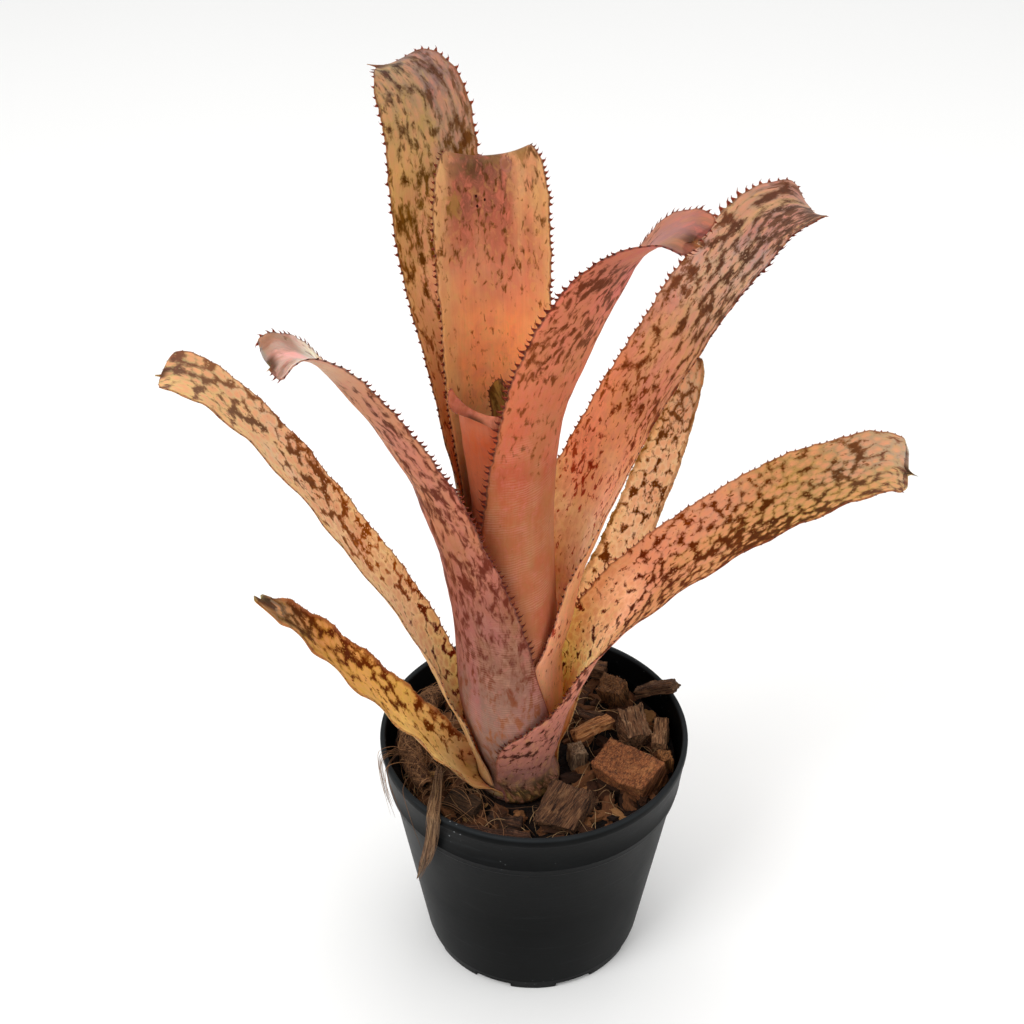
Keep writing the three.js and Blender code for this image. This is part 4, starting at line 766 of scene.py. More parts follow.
def inPot(points):
    # from the plant's own frame, which leans a little, to the pot's
    c, s = math.cos(plantLean), math.sin(plantLean)
    x, y, z = points[..., 0], points[..., 1], points[..., 2]
    return np.stack([x * c - z * s, y, x * s + z * c], -1) + plantBase


def netLevel(cover):
    # how far from the nearest pale blob the dark net starts, for the share of skin it covers
    return math.sqrt(-math.log(max(cover, 0.004)) / math.pi)


def fleckLevel(cover):
    return 0.5 + 0.118 * NormalDist().inv_cdf(1 - max(cover, 0.001))


def leafFinish(name, look, seed):
    skin = Finish(name)
    spot = skin.mark("onLeaf")
    share, inner, fromRim = skin.mark("ofLeaf").parts()
    across, along, _ = spot.parts()
    at = spot + (0, 0, seed * 3.7)
    drift = skin.noise(at, 0.035, 2, 0.5)
    cloud = skin.noise(at, 0.16, 3, 0.6)
    patchy = share + (drift - 0.5) * 0.2

    # the dark net lies where the skin is far from the middles of the pale blobs
    net = usualNet | look["net"]
    where = spot * (1 / net["size"], 1 / (net["size"] * net["stretch"]), 0) + (seed * 17.3, seed * 5.1, 0)
    where = where + (skin.noise(where + (0, 0, seed), 1.7, 3, 0.65, out="Color") - 0.5) * net["warp"]
    far = skin.node("TexVoronoi", {"voronoi_dimensions": "2D"}, {"Vector": where, "Scale": 1.0}, "Distance")
    ragged = skin.noise(at * (1, 0.8, 1), 0.42, 3, 0.6)
    wander = (drift - 0.5) * net["wander"] + (cloud - 0.5) * 0.95 + (ragged - 0.5) * 0.8
    wander = wander + across * net["lean"] - (1 - inner) * look["plainBack"]
    deep = far + wander - 2 * skin.level(share, [(at, netLevel(x) / 2) for at, x in net["cover"]])

    # the ground ramps carry painted glow and painted shade along with the leaf's own colours
    ground = skin.mix(inner, skin.ramp(patchy, look["outside"]), skin.ramp(patchy, look["inside"]))
    mottle = skin.noise(at * (0.34, 0.2, 1), 1, 4, 0.62, 0.6)
    ground = skin.mix(mottle.rise(0.5, 0.7) * 0.4, ground, look["pinkish"])
    ground = skin.mix(mottle.rise(0.5, 0.3) * 0.36, ground, look["sallow"])
    tone, amount, lean = look["blush"]
    zone = skin.noise(at * (0.075, 0.016, 1), 1, 3, 0.55) + across * lean
    if "sides" in look:
        zone = zone + across * across * look["sides"] - 0.12
    zone = zone.rise(0.3, 0.8) if "sides" in look else zone.rise(0.4, 0.62)
    if "pinkBack" in look:
        zone = zone * inner
    ground = skin.mix(zone * amount, ground, tone)
    heart, amount = look["heart"]
    heartMask = (far + (cloud - 0.5) * 0.6).rise(0.5, 0.1) * (0.3 + inner * 0.7)
    ground = skin.mix(heartMask * amount, ground, heart)
    fine = skin.noise(at * (1.5, 0.06, 1), 1, 3, 0.6)
    ground = skin.shade(ground, 0.76 + fine * 0.2 + cloud * 0.18)

    dark = skin.ramp(share, look["blot"])
    soft = net["soft"] * 1.4
    eyes = skin.cells(at * (0.62, 0.5, 1), 1.0).rise(0.3, 0.2) * skin.noise(at, 0.09, 2, 0.5).rise(0.44, 0.56)
    colour = skin.mix(deep.rise(-0.2, 0.05) * 0.2, ground, dark)
    netMask = deep.rise(-soft, soft) * (1 - eyes * 0.8)
    colour = skin.mix(netMask, colour, skin.shade(dark, 1.0 - deep.rise(0, 0.25) * 0.4))
    ticks = look["fleck"]
    speck = skin.noise(at * (1 / ticks["size"], 1 / (ticks["size"] * ticks["stretch"]), 1), 1.0, 3, 0.55, 0.4)
    speck = speck + (drift - 0.5) * 0.3 + (cloud - 0.5) * 0.12
    speck = speck - skin.level(share, [(at, fleckLevel(x)) for at, x in ticks["cover"]])
    colour = skin.mix(speck.rise(-ticks["soft"] * 1.5, ticks["soft"] * 1.5) * 0.94, colour, dark)

    # pale scurf in fine bands across the outer face
    bands = (along * 4.6 + skin.noise(at, 0.13, 3, 0.6) * 14 + across * look["bandSlant"]).sine() * 0.5 + 0.5
    end = look["scurfEnd"]
    scurf = (1 - inner) * look["scurf"] * skin.noise(at, 0.07, 3, 0.6).rise(0.4, 0.66)
    scurf = scurf * share.rise(end + 0.1, end - 0.1)
    colour = skin.mix(scurf * bands * 0.2, colour, "#E0B096")
    dust = skin.noise(at, 1.9, 2, 0.7).rise(0.58, 0.78)
    colour = skin.mix(dust * 0.035, colour, "#E8CDB8")

    rimTone, rimWidth, rimMix = look["rim"]
    frayed = fromRim + (skin.noise(at, 0.3, 3, 0.6) - 0.5) * rimWidth * 1.8
    rim = frayed.rise(rimWidth * 1.2, rimWidth * 0.3)
    colour = skin.mix(rim * rimMix, colour, rimTone)
    for spotAcross, spotAlong, radius, tone, kind in look["marks"]:
        gap = ((spot - (spotAcross, spotAlong, 0)) * (1, 0.75, 0)).size()
        if kind == "dot":
            mask = gap.rise(radius * 1.1, radius * 0.8)
        elif kind == "ring":
            wobble = (mottle - 0.5) * radius
            mask = (gap + wobble - radius).absolute().rise(radius * 0.34, radius * 0.12) * 0.6
        else:
            blurred = (gap + (mottle - 0.5) * radius * 4).rise(radius * 1.6, radius * 0.3)
            mask = blurred * (0.35 + cloud * 0.75)
        colour = skin.mix(mask, colour, tone)

    dry = share.rise(0.983, 0.997) * across.absolute().rise(5, 2)
    colour = skin.mix(dry * 0.9, colour, "#4A2E1E")
    thorn = skin.mark("thorn", "Fac")
    low, high = look["thorn"]
    colour = skin.mix(thorn.rise(0.02, 0.3), colour, skin.mix(thorn, low, high))
    rough = look["rough"] - 0.06 + fine * 0.1 + scurf * bands * 0.14
    ribs = skin.noise(at * (2.3, 0.03, 1), 1, 2, 0.5)
    height = ribs * 0.55 + cloud * 0.6
    return skin.close(colour, rough, height, 0.3, 0.0005, gloss=0.05, flesh=0.7)


def spinesOf(leaf, s, rims, heap, draw):
    # curved thorns along both margins, hooked towards the tip
    lengths = np.array(leaf["spines"]).T

    def here(values, run):
        return np.array([np.interp(run, s["along"], values[:, k]) for k in range(3)])

    for rim, sign in zip(rims, (-1, 1)):
        steps = np.concatenate([[0], np.cumsum(np.linalg.norm(np.diff(rim, axis=0), axis=1))])

        def onRim(way):
            return np.array([np.interp(way, steps, rim[:, k]) for k in range(3)])

        walked = np.interp(leaf["spinesFrom"], s["along"], steps) + draw.uniform(0, leaf["pitch"])
        while walked < steps[-1] - leaf["spike"] - 1.6:
            run = float(np.interp(walked, steps, s["along"]))
            share = run / s["total"]
            size = float(np.interp(share, *lengths)) * draw.uniform(0.75, 1.35)
            size *= float(np.clip((run - leaf["spinesFrom"]) / 14 + 0.35, 0, 1))
            foot = onRim(walked)
            forward = unit(onRim(walked + 0.7) - onRim(walked - 0.7))
            width, radius = [np.interp(run, s["along"], s[name]) for name in ("width", "radius")]
            angle = sign * width / radius / 2
            flat = here(s["across"], run) * math.sin(angle) - here(s["inner"], run) * math.cos(angle)
            away = unit(np.cross(forward, flat)) * sign
            flat = np.cross(forward, away)
            away = unit(away + flat * draw.uniform(-0.16, 0.16))
            hook = draw.uniform(0.42, 0.75)
            base, thick = 0.34 * size + 0.3, 0.2 + 0.06 * size

            # each ring of the thorn: how far out and ahead it lies, and how long and broad it is
            rings = ((-0.35, 0.0, base * 1.15, thick), (0.22 * size, 0.06 * size, base * 0.62, thick * 0.9),
                     (0.6 * size, 0.2 * hook * size, base * 0.3, thick * 0.55))
            points = []
            for up, ahead, long, broad in rings:
                middle = foot + away * up + forward * ahead
                points += [middle - forward * long, middle + flat * broad, middle + forward * long,
                           middle - flat * broad]
            points.append(foot + away * size + forward * size * hook)
            faces = [[3, 2, 1, 0]] + walls(3, 4) + [[8 + j, 8 + (j + 1) % 4, 12] for j in range(4)]
            heap.add(inPot(np.array(points)), faces, onLeaf=[sign * width / 2, run, 0],
                     ofLeaf=[share, 0.5, 0], thorn=[0.05] * 4 + [0.4] * 4 + [0.8] * 4 + [1.0])
            walked += leaf["pitch"] * draw.uniform(0.72, 1.28)


def makeLeaf(node, seed):
    leaf = usualLeaf | leaves[node]
    s = leafSections(leaf)
    columns = bladeShape["columns"]
    places = np.linspace(-0.5, 0.5, columns + 1)
    top, under = [facePoints(s, leaf, places, side, seed) for side in (1, -1)]
    rims = []
    for side, inside in ((0, 1), (-1, -2)):
        middle = (top[:, side] + under[:, side]) / 2
        inward = middle - (top[:, inside] + under[:, inside]) / 2
        rims.append(middle + unit(inward) * np.clip(s["width"] / 20, 0.02, 0.22)[:, None])
    loops = np.concatenate([top, rims[1][:, None], under[:, ::-1], rims[0][:, None]], axis=1)
    count, size = loops.shape[:2]
    faces = [face[:1] + face[:0:-1] for face in walls(count, size)]
    faces += [face[::-1] for face in caps(count, size)]

    # where each point lies on the leaf, for its finish
    loopPlace = np.concatenate([places, [0.5], places[::-1], [-0.5]])
    loopInner = np.concatenate([np.ones(columns + 1), [0.5], np.zeros(columns + 1), [0.5]])
    across = s["width"][:, None] * loopPlace[None, :] + (s["apron"] * s["radius"])[:, None]
    along = np.repeat(s["along"][:, None], size, axis=1)
    onLeaf = np.stack([across, along, np.zeros_like(along)], -1).reshape(-1, 3)
    fromRim = (0.5 - np.abs(loopPlace))[None, :] * s["width"][:, None]
    fromRim = np.minimum(fromRim, np.maximum(0, s["total"] - along))
    inner = np.repeat(loopInner[None, :], count, axis=0)
    ofLeaf = np.stack([along / s["total"], inner, fromRim], -1).reshape(-1, 3)
    heap = Heap()
    heap.add(inPot(loops).reshape(-1, 3), faces, onLeaf=onLeaf, ofLeaf=ofLeaf, thorn=0)
    spinesOf(leaf, s, rims, heap, random.Random(seed * 17 + 3))
    piece = heap.piece(node + "_spined", [leafFinish(node.replace("_", " ") + " skin", leaf, seed)])
    return settle(piece, node, node)


for seed, node in enumerate(leaves):
    makeLeaf(node, seed + 1)
print("leaves made")

# Growing mix
mix = {
    "top": 110.4, "topRadius": 69.3, "relief": 1.6, "bottom": 5.25, "lowRadius": 20, "lowFade": 12,
    "wall": [(5.25, 50.7), (7, 52.7), (60, 61.4), (98, 67.8)], "rings": 96, "sectors": 220,
    "crumbs": 260, "splinters": 170, "crumbSeed": 41, "clearing": 24,
    "fibres": 190, "fibreSeed": 7, "fibreStart": 26, "fibreClearing": 22,
}
stemAt = (-8.0, -14.0)


def stemGap(x, y):
    return np.hypot(x - stemAt[0], y - stemAt[1])


def mixHeight(x, y):
    waves = np.sin(x * 0.31 + 1.3) * np.cos(y * 0.27) + np.sin(x * 0.13 - y * 0.22)
    begin = ease((stemGap(x, y) - mix["lowRadius"]) / mix["lowFade"])  # low round the stem
    return mix["top"] - mix["relief"] / 2 + begin * (waves + 1.5) * mix["relief"] / 2


def crumble(x, y):
    # fine lumps of the filling, in millimetres
    return 0.9 * noise.fractal(Vector((x, y, 3.0)) * 0.32, 0.9, 2.1, 4) - 0.4


def soilFinish():
    soil = Finish("dark growing mix")
    at = soil.node("TexCoord", {}, {}, "Object")
    lumps = soil.noise(at, 240, 5, 0.65)
    grit = soil.cells(at, 620)
    # near-black base: the mix's own dark colour and painted shade in the gaps between the chips
    colour = soil.mix(lumps.rise(0.38, 0.72), "#070403", "#22130B")
    colour = soil.mix(soil.noise(at, 95, 3, 0.6).rise(0.58, 0.7) * 0.7, colour, "#3A2415")
    colour = soil.mix(grit.rise(0.12, 0.04) * 0.5, colour, "#6B4A2E")
    return soil.close(colour, 0.88 + lumps * 0.1, lumps + grit * 0.4, 0.9, 0.0015, gloss=0.2)


def makeMix():
    sectors, rings = mix["sectors"], mix["rings"]
    turns = np.arange(sectors) / sectors * 2 * math.pi
    points = [(0, 0, mix["bottom"])]
    for height, radius in mix["wall"]:
        points += [(radius * math.cos(a), radius * math.sin(a), height) for a in turns]
    for i in range(rings):
        radius = mix["topRadius"] * (1 - i / rings)
        for a in turns:
            x, y = radius * math.cos(a), radius * math.sin(a)
            points.append((x, y, mixHeight(x, y) + crumble(x, y) * min(1, i / 2)))
    points.append((0, 0, mixHeight(0, 0) + crumble(0, 0)))
    faces = [[0, 1 + (j + 1) % sectors, 1 + j] for j in range(sectors)]
    total = len(mix["wall"]) + rings
    faces += [[1 + corner for corner in face] for face in walls(total, sectors)]
    last, end = 1 + (total - 1) * sectors, len(points) - 1
    faces += [[last + j, last + (j + 1) % sectors, end] for j in range(sectors)]
    heap = Heap()
    heap.add(points, faces)
    return settle(heap.piece("growing_mix_soil", [soilFinish()]), "growing_mix", "growing_mix")


makeMix()
print("growing mix made")


# Bark
# Each bark piece: dark, middle and light tone, how strong its cracks are and how rough its faces
# the dark tone also gives painted shade in the cracks, and the light tone painted light on the raised fibres
bark = {
    "chip_cinnamon_block": ("#3C1C0E", "#7E4A2A", "#B27A4A", 0.4, 0.7),
    "chip_grey_block": ("#22120A", "#583A26", "#8A6444", 1.3, 0.9),
    "chip_small_grey": ("#3A281C", "#7F644C", "#B79B7A", 0.9, 0.9),
    "chip_lobed_left": ("#2A170A", "#6E4C34", "#B8926C", 1.1, 1.7),
    "chip_lobed_right": ("#301B0D", "#785438", "#C0966C", 1.0, 1.6),
    "chip_pale_splinter": ("#50290E", "#B07446", "#E6AC74", 0.7, 0.9),
    "chip_dark_splinter": ("#1C0E07", "#4A2C1A", "#7E5A3C", 1.0, 1.0),
    "chip_forked": ("#2A160A", "#70492A", "#AC7C50", 0.9, 1.4),
    "chip_rim_long": ("#22120A", "#523622", "#8A6A4C", 1.0, 1.0),
    "chip_back_splinter": ("#22120A", "#5E3E28", "#96724F", 1.0, 1.0),
    "chip_right_small": ("#34190A", "#80522C", "#BC8650", 0.8, 0.8),
    "chip_front_strip": ("#170B06", "#43281A", "#7C5640", 1.0, 1.0),
    "chip_front_short": ("#160B06", "#3C2417", "#6E4C36", 1.0, 1.0),
    "chip_left_front": ("#120904", "#33200F", "#5E4028", 1.0, 1.2),
}
uprightGrain = ("chip_cinnamon_block", "chip_small_grey")
barkShape = {"voxel": 0.62, "grain": 0.5, "lump": 0.8, "crack": 0.9, "sink": 0.25, "room": 0.2}


def barkFinish(name, dark, middle, light, cracks, seed):
    wood = Finish(name)
    at = wood.mark("onBark") + (seed * 7.1, 0, seed * 3.3)
    grain = wood.noise(at * (0.10, 1.0, 1.0), 1.1, 4, 0.62, 0.5)
    fibre = wood.noise(at * (0.05, 3.0, 3.0), 1.2, 3, 0.6, 0.2)
    lump = wood.noise(at, 0.16, 3, 0.55)
    pore = wood.cells(at * (0.16, 1.5, 1.5), 1.0)
    colour = wood.mix(grain.rise(0.32, 0.68), dark, middle)
    # raised fibres lighter: pale fibre and painted light on the ridges
    colour = wood.mix(fibre.rise(0.5, 0.72) * (0.35 + lump * 0.6), colour, light)
    colour = wood.mix(lump.rise(0.52, 0.72) * 0.35, colour, light)
    # cracks darker: painted shade in the splits along the grain
    gap = wood.noise(at * (0.07, 0.55, 0.55), 1.0, 4, 0.6, 0.8).rise(0.43, 0.36)
    colour = wood.mix(gap * min(1, 0.75 * cracks), colour, dark)
    colour = wood.shade(colour, 1.3)
    specks = wood.noise(at, 2.2, 2, 0.7).rise(0.63, 0.74)
    colour = wood.mix(specks * 0.35, colour, "#B59A7C")
    height = grain * 0.8 + fibre * 0.5 - gap * 0.9 + pore * 0.3
    return wood.close(colour, 0.72 + grain * 0.2, height, 0.8, 0.0008, gloss=0.25)


def grainFrame(points, isUpright):
    # middle of a chip and its axes, the one along the grain first
    middle = points.mean(0)
    _, _, axes = np.linalg.svd(points - middle)
    if isUpright:
        axes = axes[np.argsort(-np.abs(axes[:, 2]))]
    return middle, axes


def ofVertices(mesh, what):
    values = np.zeros(len(mesh.vertices) * 3, np.float32)
    mesh.vertices.foreach_get(what, values)
    return values.reshape(-1, 3)


def makeBark(node, seed):
    # the chip's own solid on a fine grid, with its surface split along the grain
    dark, middleTone, light, cracks, rough = bark[node]
    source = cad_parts[node].data
    heap = Heap()
    points = np.array([v.co for v in source.vertices]) / millimetre
    joined = {}
    index = [joined.setdefault(tuple(np.round(p, 3)), len(joined)) for p in points]
    corners = np.array(list(joined))
    heap.add(corners, [[index[v] for v in face.vertices] for face in source.polygons])
    piece = heap.piece(node + "_bark", [])
    change = piece.modifiers.new("grid", "REMESH")
    change.mode, change.voxel_size = "VOXEL", barkShape["voxel"] * millimetre
    bake(piece)
    mesh = piece.data
    co = ofVertices(mesh, "co").astype(float) / millimetre
    normals = ofVertices(mesh, "normal")
    middle, axes = grainFrame(corners, node in uprightGrain)
    local = (co - middle) @ axes.T
    low, high = corners.min(0) - barkShape["room"], corners.max(0) + barkShape["room"]
    shift = np.zeros(len(co))
    for i, (x, y, z) in enumerate(local):
        ridge = noise.fractal(Vector((x * 0.09 + seed, y * 0.85, z * 0.85)), 0.8, 2.0, 3)
        lump = noise.noise(Vector((x * 0.13, y * 0.17 + seed, z * 0.17)))
        split = abs(noise.noise(Vector((x * 0.05, y * 0.34, z * 0.34 + seed * 2))))
        shift[i] = barkShape["grain"] * ridge * rough + barkShape["lump"] * lump * rough
        shift[i] -= barkShape["crack"] * cracks * max(0, 1 - split * 9)
    co = np.clip(co + normals * (shift - barkShape["sink"])[:, None], low, high)
    mesh.vertices.foreach_set("co", (co * millimetre).astype(np.float32).ravel())
    kept = mesh.attributes.new("onBark", "FLOAT_VECTOR", "POINT")
    kept.data.foreach_set("vector", local.astype(np.float32).ravel())
    mesh.materials.clear()
    name = node.replace("_", " ") + " bark"
    mesh.materials.append(barkFinish(name, dark, middleTone, light, cracks, seed))
    mesh.polygons.foreach_set("use_smooth", [True] * len(mesh.polygons))
    mesh.update()
    return settle(piece, node, node)


for seed, node in enumerate(bark):
    makeBark(node, seed + 1)
print("bark chips made")


# Crumbs and loose fibres
def crumbFinish():
    wood = Finish("bark crumbs")
    at = wood.mark("onBark")
    tone = wood.mark("tone", "Fac")
    grain = wood.noise(at * (0.25, 1.6, 1.6), 1.0, 4, 0.6, 0.4)
    colour = wood.ramp(tone, [(0.0, "#1A0D06"), (0.35, "#3E2414"), (0.6, "#6A4226"), (0.82, "#7E5432"),
                              (1.0, "#AE8250")])
    colour = wood.shade(colour, 0.45 + grain * 1.15)
    return wood.close(colour, 0.78 + grain * 0.15, grain, 0.8, 0.0008, gloss=0.22)


def crumb(size, draw, nx=4, ny=3, nz=3):
    # a splintered block: a coarse grid box with every corner a little off
    spots, points, faces = {}, [], []
    for i in range(nx):
        for j in range(ny):
            for k in range(nz):
                if i in (0, nx - 1) or j in (0, ny - 1) or k in (0, nz - 1):
                    spots[i, j, k] = len(points)
                    end = 0.72 if i in (0, nx - 1) else 1.0
                    x = (i / (nx - 1) - 0.5) * size[0] + draw.uniform(-0.4, 0.4) * size[0] / nx
                    y = (j / (ny - 1) - 0.5) * size[1] * end + draw.uniform(-0.14, 0.14) * size[1]
                    z = (k / (nz - 1) - 0.5) * size[2] * end + draw.uniform(-0.14, 0.14) * size[2]
                    points.append([x, y, z])

    def quad(a, b, c, d):
        faces.append([spots[a], spots[b], spots[c], spots[d]])

    for i in range(nx - 1):
        for j in range(ny - 1):
            quad((i, j, 0), (i, j + 1, 0), (i + 1, j + 1, 0), (i + 1, j, 0))
            quad((i, j, nz - 1), (i + 1, j, nz - 1), (i + 1, j + 1, nz - 1), (i, j + 1, nz - 1))
        for k in range(nz - 1):
            quad((i, 0, k), (i + 1, 0, k), (i + 1, 0, k + 1), (i, 0, k + 1))
            quad((i, ny - 1, k), (i, ny - 1, k + 1), (i + 1, ny - 1, k + 1), (i + 1, ny - 1, k))
    for j in range(ny - 1):
        for k in range(nz - 1):
            quad((0, j, k), (0, j, k + 1), (0, j + 1, k + 1), (0, j + 1, k))
            quad((nx - 1, j, k), (nx - 1, j + 1, k), (nx - 1, j + 1, k + 1), (nx - 1, j, k + 1))
    return np.array(points), faces


def eulerTurn(roll, pitch, yaw):
    cx, sx, cy, sy, cz, sz = [f(a) for a in (roll, pitch, yaw) for f in (math.cos, math.sin)]
    turnX = np.array([[1, 0, 0], [0, cx, -sx], [0, sx, cx]])
    turnY = np.array([[cy, 0, sy], [0, 1, 0], [-sy, 0, cy]])
    turnZ = np.array([[cz, -sz, 0], [sz, cz, 0], [0, 0, 1]])
    return turnZ @ turnY @ turnX


def makeCrumbs():
    draw = random.Random(mix["crumbSeed"])
    heap = Heap()
    placed = 0
    while placed < mix["crumbs"] + mix["splinters"]:
        isLong = placed >= mix["crumbs"]
        radius, turn = 67 * math.sqrt(draw.random()), draw.uniform(0, 2 * math.pi)
        x, y = radius * math.cos(turn), radius * math.sin(turn)
        reach = draw.uniform(9, 20) if isLong else draw.uniform(1.8, 6.5)
        if stemGap(x, y) < mix["clearing"] + reach / 3 or radius + reach / 2 > 69.5:
            continue
        size = (reach, draw.uniform(2.4, 6.5) if isLong else reach * draw.uniform(0.4, 0.8),
                draw.uniform(1.8, 4.2) if isLong else reach * draw.uniform(0.25, 0.6))
        points, faces = crumb(size, draw, *((8, 4, 3) if isLong else ()))
        frameTurn = eulerTurn(draw.uniform(-0.6, 0.6), draw.uniform(-0.3, 0.3), draw.uniform(0, 2 * math.pi))
        placedAt = points @ frameTurn.T + np.array([x, y, mixHeight(x, y) + size[2] * 0.18])
        tone = min(1, max(0, draw.gauss(0.44, 0.23)))
        heap.add(placedAt, faces, onBark=points + placed * 5.3, tone=tone)
        placed += 1
    return settle(heap.piece("mix_crumbs", [crumbFinish()], smooth=False), "growing_mix")


def fibreFinish(name, dark, light):
    husk = Finish(name)
    at = husk.node("TexCoord", {}, {}, "Object")
    tone = husk.mark("tone", "Fac")
    streak = husk.noise(at, 900, 2, 0.6)
    colour = husk.shade(husk.mix(tone, dark, light), 0.7 + streak * 0.6)
    return husk.close(colour, 0.62 + streak * 0.2, streak, 0.4, 0.0002, gloss=0.3)


looseEnds = ([0, 0.1, 0.85, 1], [0.5, 1, 1, 0.35])


def bentRoute(start, heading, length, bend, lift, count, draw):
    # a fibre that lies down at both ends and arches between them
    points, place, angle = [], np.array(start[:2], float), heading
    step = length / (count - 1)
    swing, phase = draw.uniform(0.2, 0.9), draw.uniform(0, 6.3)
    for i in range(count):
        share = i / (count - 1)
        x, y = place
        over = min(1.0, 66.0 / max(1e-6, math.hypot(x, y)))
        x, y = x * over, y * over
        height = mixHeight(x, y) + 0.1 + lift * math.sin(math.pi * share) ** 0.8
        points.append((x, y, height))
        angle += bend * step + swing * 0.12 * math.sin(share * 9 + phase)
        place = place + step * np.array([math.cos(angle), math.sin(angle)])
    return points


def makeLooseFibres():
    draw = random.Random(mix["fibreSeed"])
    heap = Heap()
    for _ in range(mix["fibres"]):
        turn, radius = draw.uniform(0, 2 * math.pi), 64 * math.sqrt(draw.uniform(0.16, 1))
        x, y = radius * math.cos(turn), radius * math.sin(turn)
        if stemGap(x, y) < mix["fibreStart"]:
            continue
        route = bentRoute((x, y), draw.uniform(0, 6.3), draw.uniform(10, 38), draw.uniform(-0.09, 0.09),
                          draw.uniform(0.8, 7.5), 16, draw)
        if min(stemGap(p[0], p[1]) for p in route) < mix["fibreClearing"]:
            continue
        heap.fibre(route, draw.uniform(0.09, 0.2), looseEnds, draw.random())
    finish = fibreFinish("pale husk fibre", "#5E4026", "#C6A173")
    return settle(heap.piece("loose_fibres", [finish]), "coir_wad")


makeCrumbs()
makeLooseFibres()
print("crumbs and loose fibres made")

# Coir
coir = {
    "wadStart": 134, "wadEnd": 209, "wadRadius": 60, "wadHeight": 119.8, "wadFloor": 112.8, "wadCore": 5.2,
    "wadFibres": 720, "wadSeed": 33, "strays": 12, "tangle": 150, "tangleClearing": 21,
    "strand": [(-45.6, -15, 117, 3.5), (-46.1, -27, 120, 5), (-46.4, -41, 124.5, 6),
               (-46.6, -51.5, 129.2, 6.5), (-47.1, -59.4, 129.3, 7), (-47.2, -60.2, 125.7, 7),
               (-47.8, -59.4, 119, 7), (-49.3, -58.6, 108, 6.5), (-51.4, -55.4, 96, 5.5),
               (-53.8, -50.8, 83.5, 3.5), (-56.3, -45.6, 71.6, 1.2)],
    "strandFibres": 90, "strandSeed": 5,
    "bands": [(-0.27, 0.42, 1.0), (0.1, 0.36, 0.93), (0.36, 0.24, 0.8)],
}


def wadPoint(share, around, reach):
    angle = math.radians(coir["wadStart"] + (coir["wadEnd"] - coir["wadStart"]) * share)
    swell = reach * (0.55 + 0.45 * math.sin(math.pi * min(1, max(0, share))))
    radius = coir["wadRadius"] + swell * math.sin(around)
    height = max(coir["wadFloor"] - 1.2, coir["wadHeight"] + swell * math.cos(around))
    return radius * math.cos(angle), radius * math.sin(angle), height


def makeWad():
    draw = random.Random(coir["wadSeed"])
    heap = Heap()
    rings, sides = 70, 36
    points = []
    for i in range(rings + 1):
        for j in range(sides):
            share, around = i / rings, j / sides * 2 * math.pi
            spot = Vector((share * 22, math.cos(around) * 2.2, math.sin(around) * 2.2))
            lumps = noise.fractal(spot, 0.8, 2, 3)
            points.append(wadPoint(share, around, coir["wadCore"] * (0.8 + 0.16 * lumps)))
    # the near-black core shell is painted shade showing between the fibres of the wad
    heap.add(points, walls(rings + 1, sides) + caps(rings + 1, sides), look=1, tone=0.2)
    for _ in range(coir["wadFibres"]):
        start, length = draw.uniform(-0.02, 0.95), draw.uniform(0.06, 0.42)
        turn, twist = draw.uniform(0, 6.3), draw.uniform(-6.5, 6.5)
        reach, stray = draw.uniform(0.72, 1.15) * coir["wadCore"], draw.choice([0.5, 1.0, 1.6, 3.2])
        a, b, c = [draw.uniform(0, 6.3) for _ in range(3)]
        route = []
        for i in range(20):
            share = i / 19
            along = start + length * share
            out = reach + stray * math.sin(math.pi * share) * (0.6 + 0.4 * math.sin(share * 7 + a))
            route.append(wadPoint(min(1.03, along + 0.012 * math.sin(share * 11 + b)),
                                  turn + twist * share + 0.5 * math.sin(share * 8 + c), out))
        ends = ([0, 0.08, 0.9, 1], [0.4, 1, 1, 0.4])
        heap.fibre(route, draw.uniform(0.06, 0.18), ends, draw.random() ** 1.6)

    # fibres that spring from the wad and hang over the lip
    for _ in range(coir["strays"]):
        angle, swing = math.radians(draw.uniform(186, 207)), draw.choice([0.12, 0.25, 0.35, 0.48])
        drop = draw.uniform(4, 34)
        route = []
        for radius, height, turn in ((58, 122, 0), (64, 126, 0.15), (70, 129.5, 0.35), (75.4, 130.2, 0.55),
                                     (77.4, 127.5, 0.7), (77.6 - drop * 0.03, 124 - drop * 0.45, 0.9),
                                     (76.6 - drop * 0.08, 123 - drop, 1)):
            around = angle + swing * turn
            height += draw.uniform(-0.3, 0.3)
            route.append((radius * math.cos(around), radius * math.sin(around), height))
        route = spline(np.array(route), np.linspace(0, 6, 24))
        ends = ([0, 0.08, 0.8, 1], [0.4, 1, 0.9, 0.3])
        heap.fibre(route, draw.uniform(0.09, 0.17), ends, draw.uniform(0.15, 0.85))

    # fibres that lie tangled on the mix round the wad
    for _ in range(coir["tangle"]):
        angle, radius = math.radians(draw.uniform(150, 250)), draw.uniform(36, 67)
        start = (radius * math.cos(angle), radius * math.sin(angle))
        route = bentRoute(start, draw.uniform(0, 6.3), draw.uniform(16, 46), draw.uniform(-0.06, 0.06),
                          draw.uniform(2, 9), 18, draw)
        if min(stemGap(p[0], p[1]) for p in route) < coir["tangleClearing"]:
            continue
        heap.fibre(route, draw.uniform(0.08, 0.16), looseEnds, draw.uniform(0.15, 0.9))
    finishes = [fibreFinish("coir fibre", "#3E2212", "#A97A52"),
                fibreFinish("coir core painted shade", "#120804", "#2A160C")]
    return settle(heap.piece("coir_wad_fibres", finishes), "coir_wad", "coir_wad")


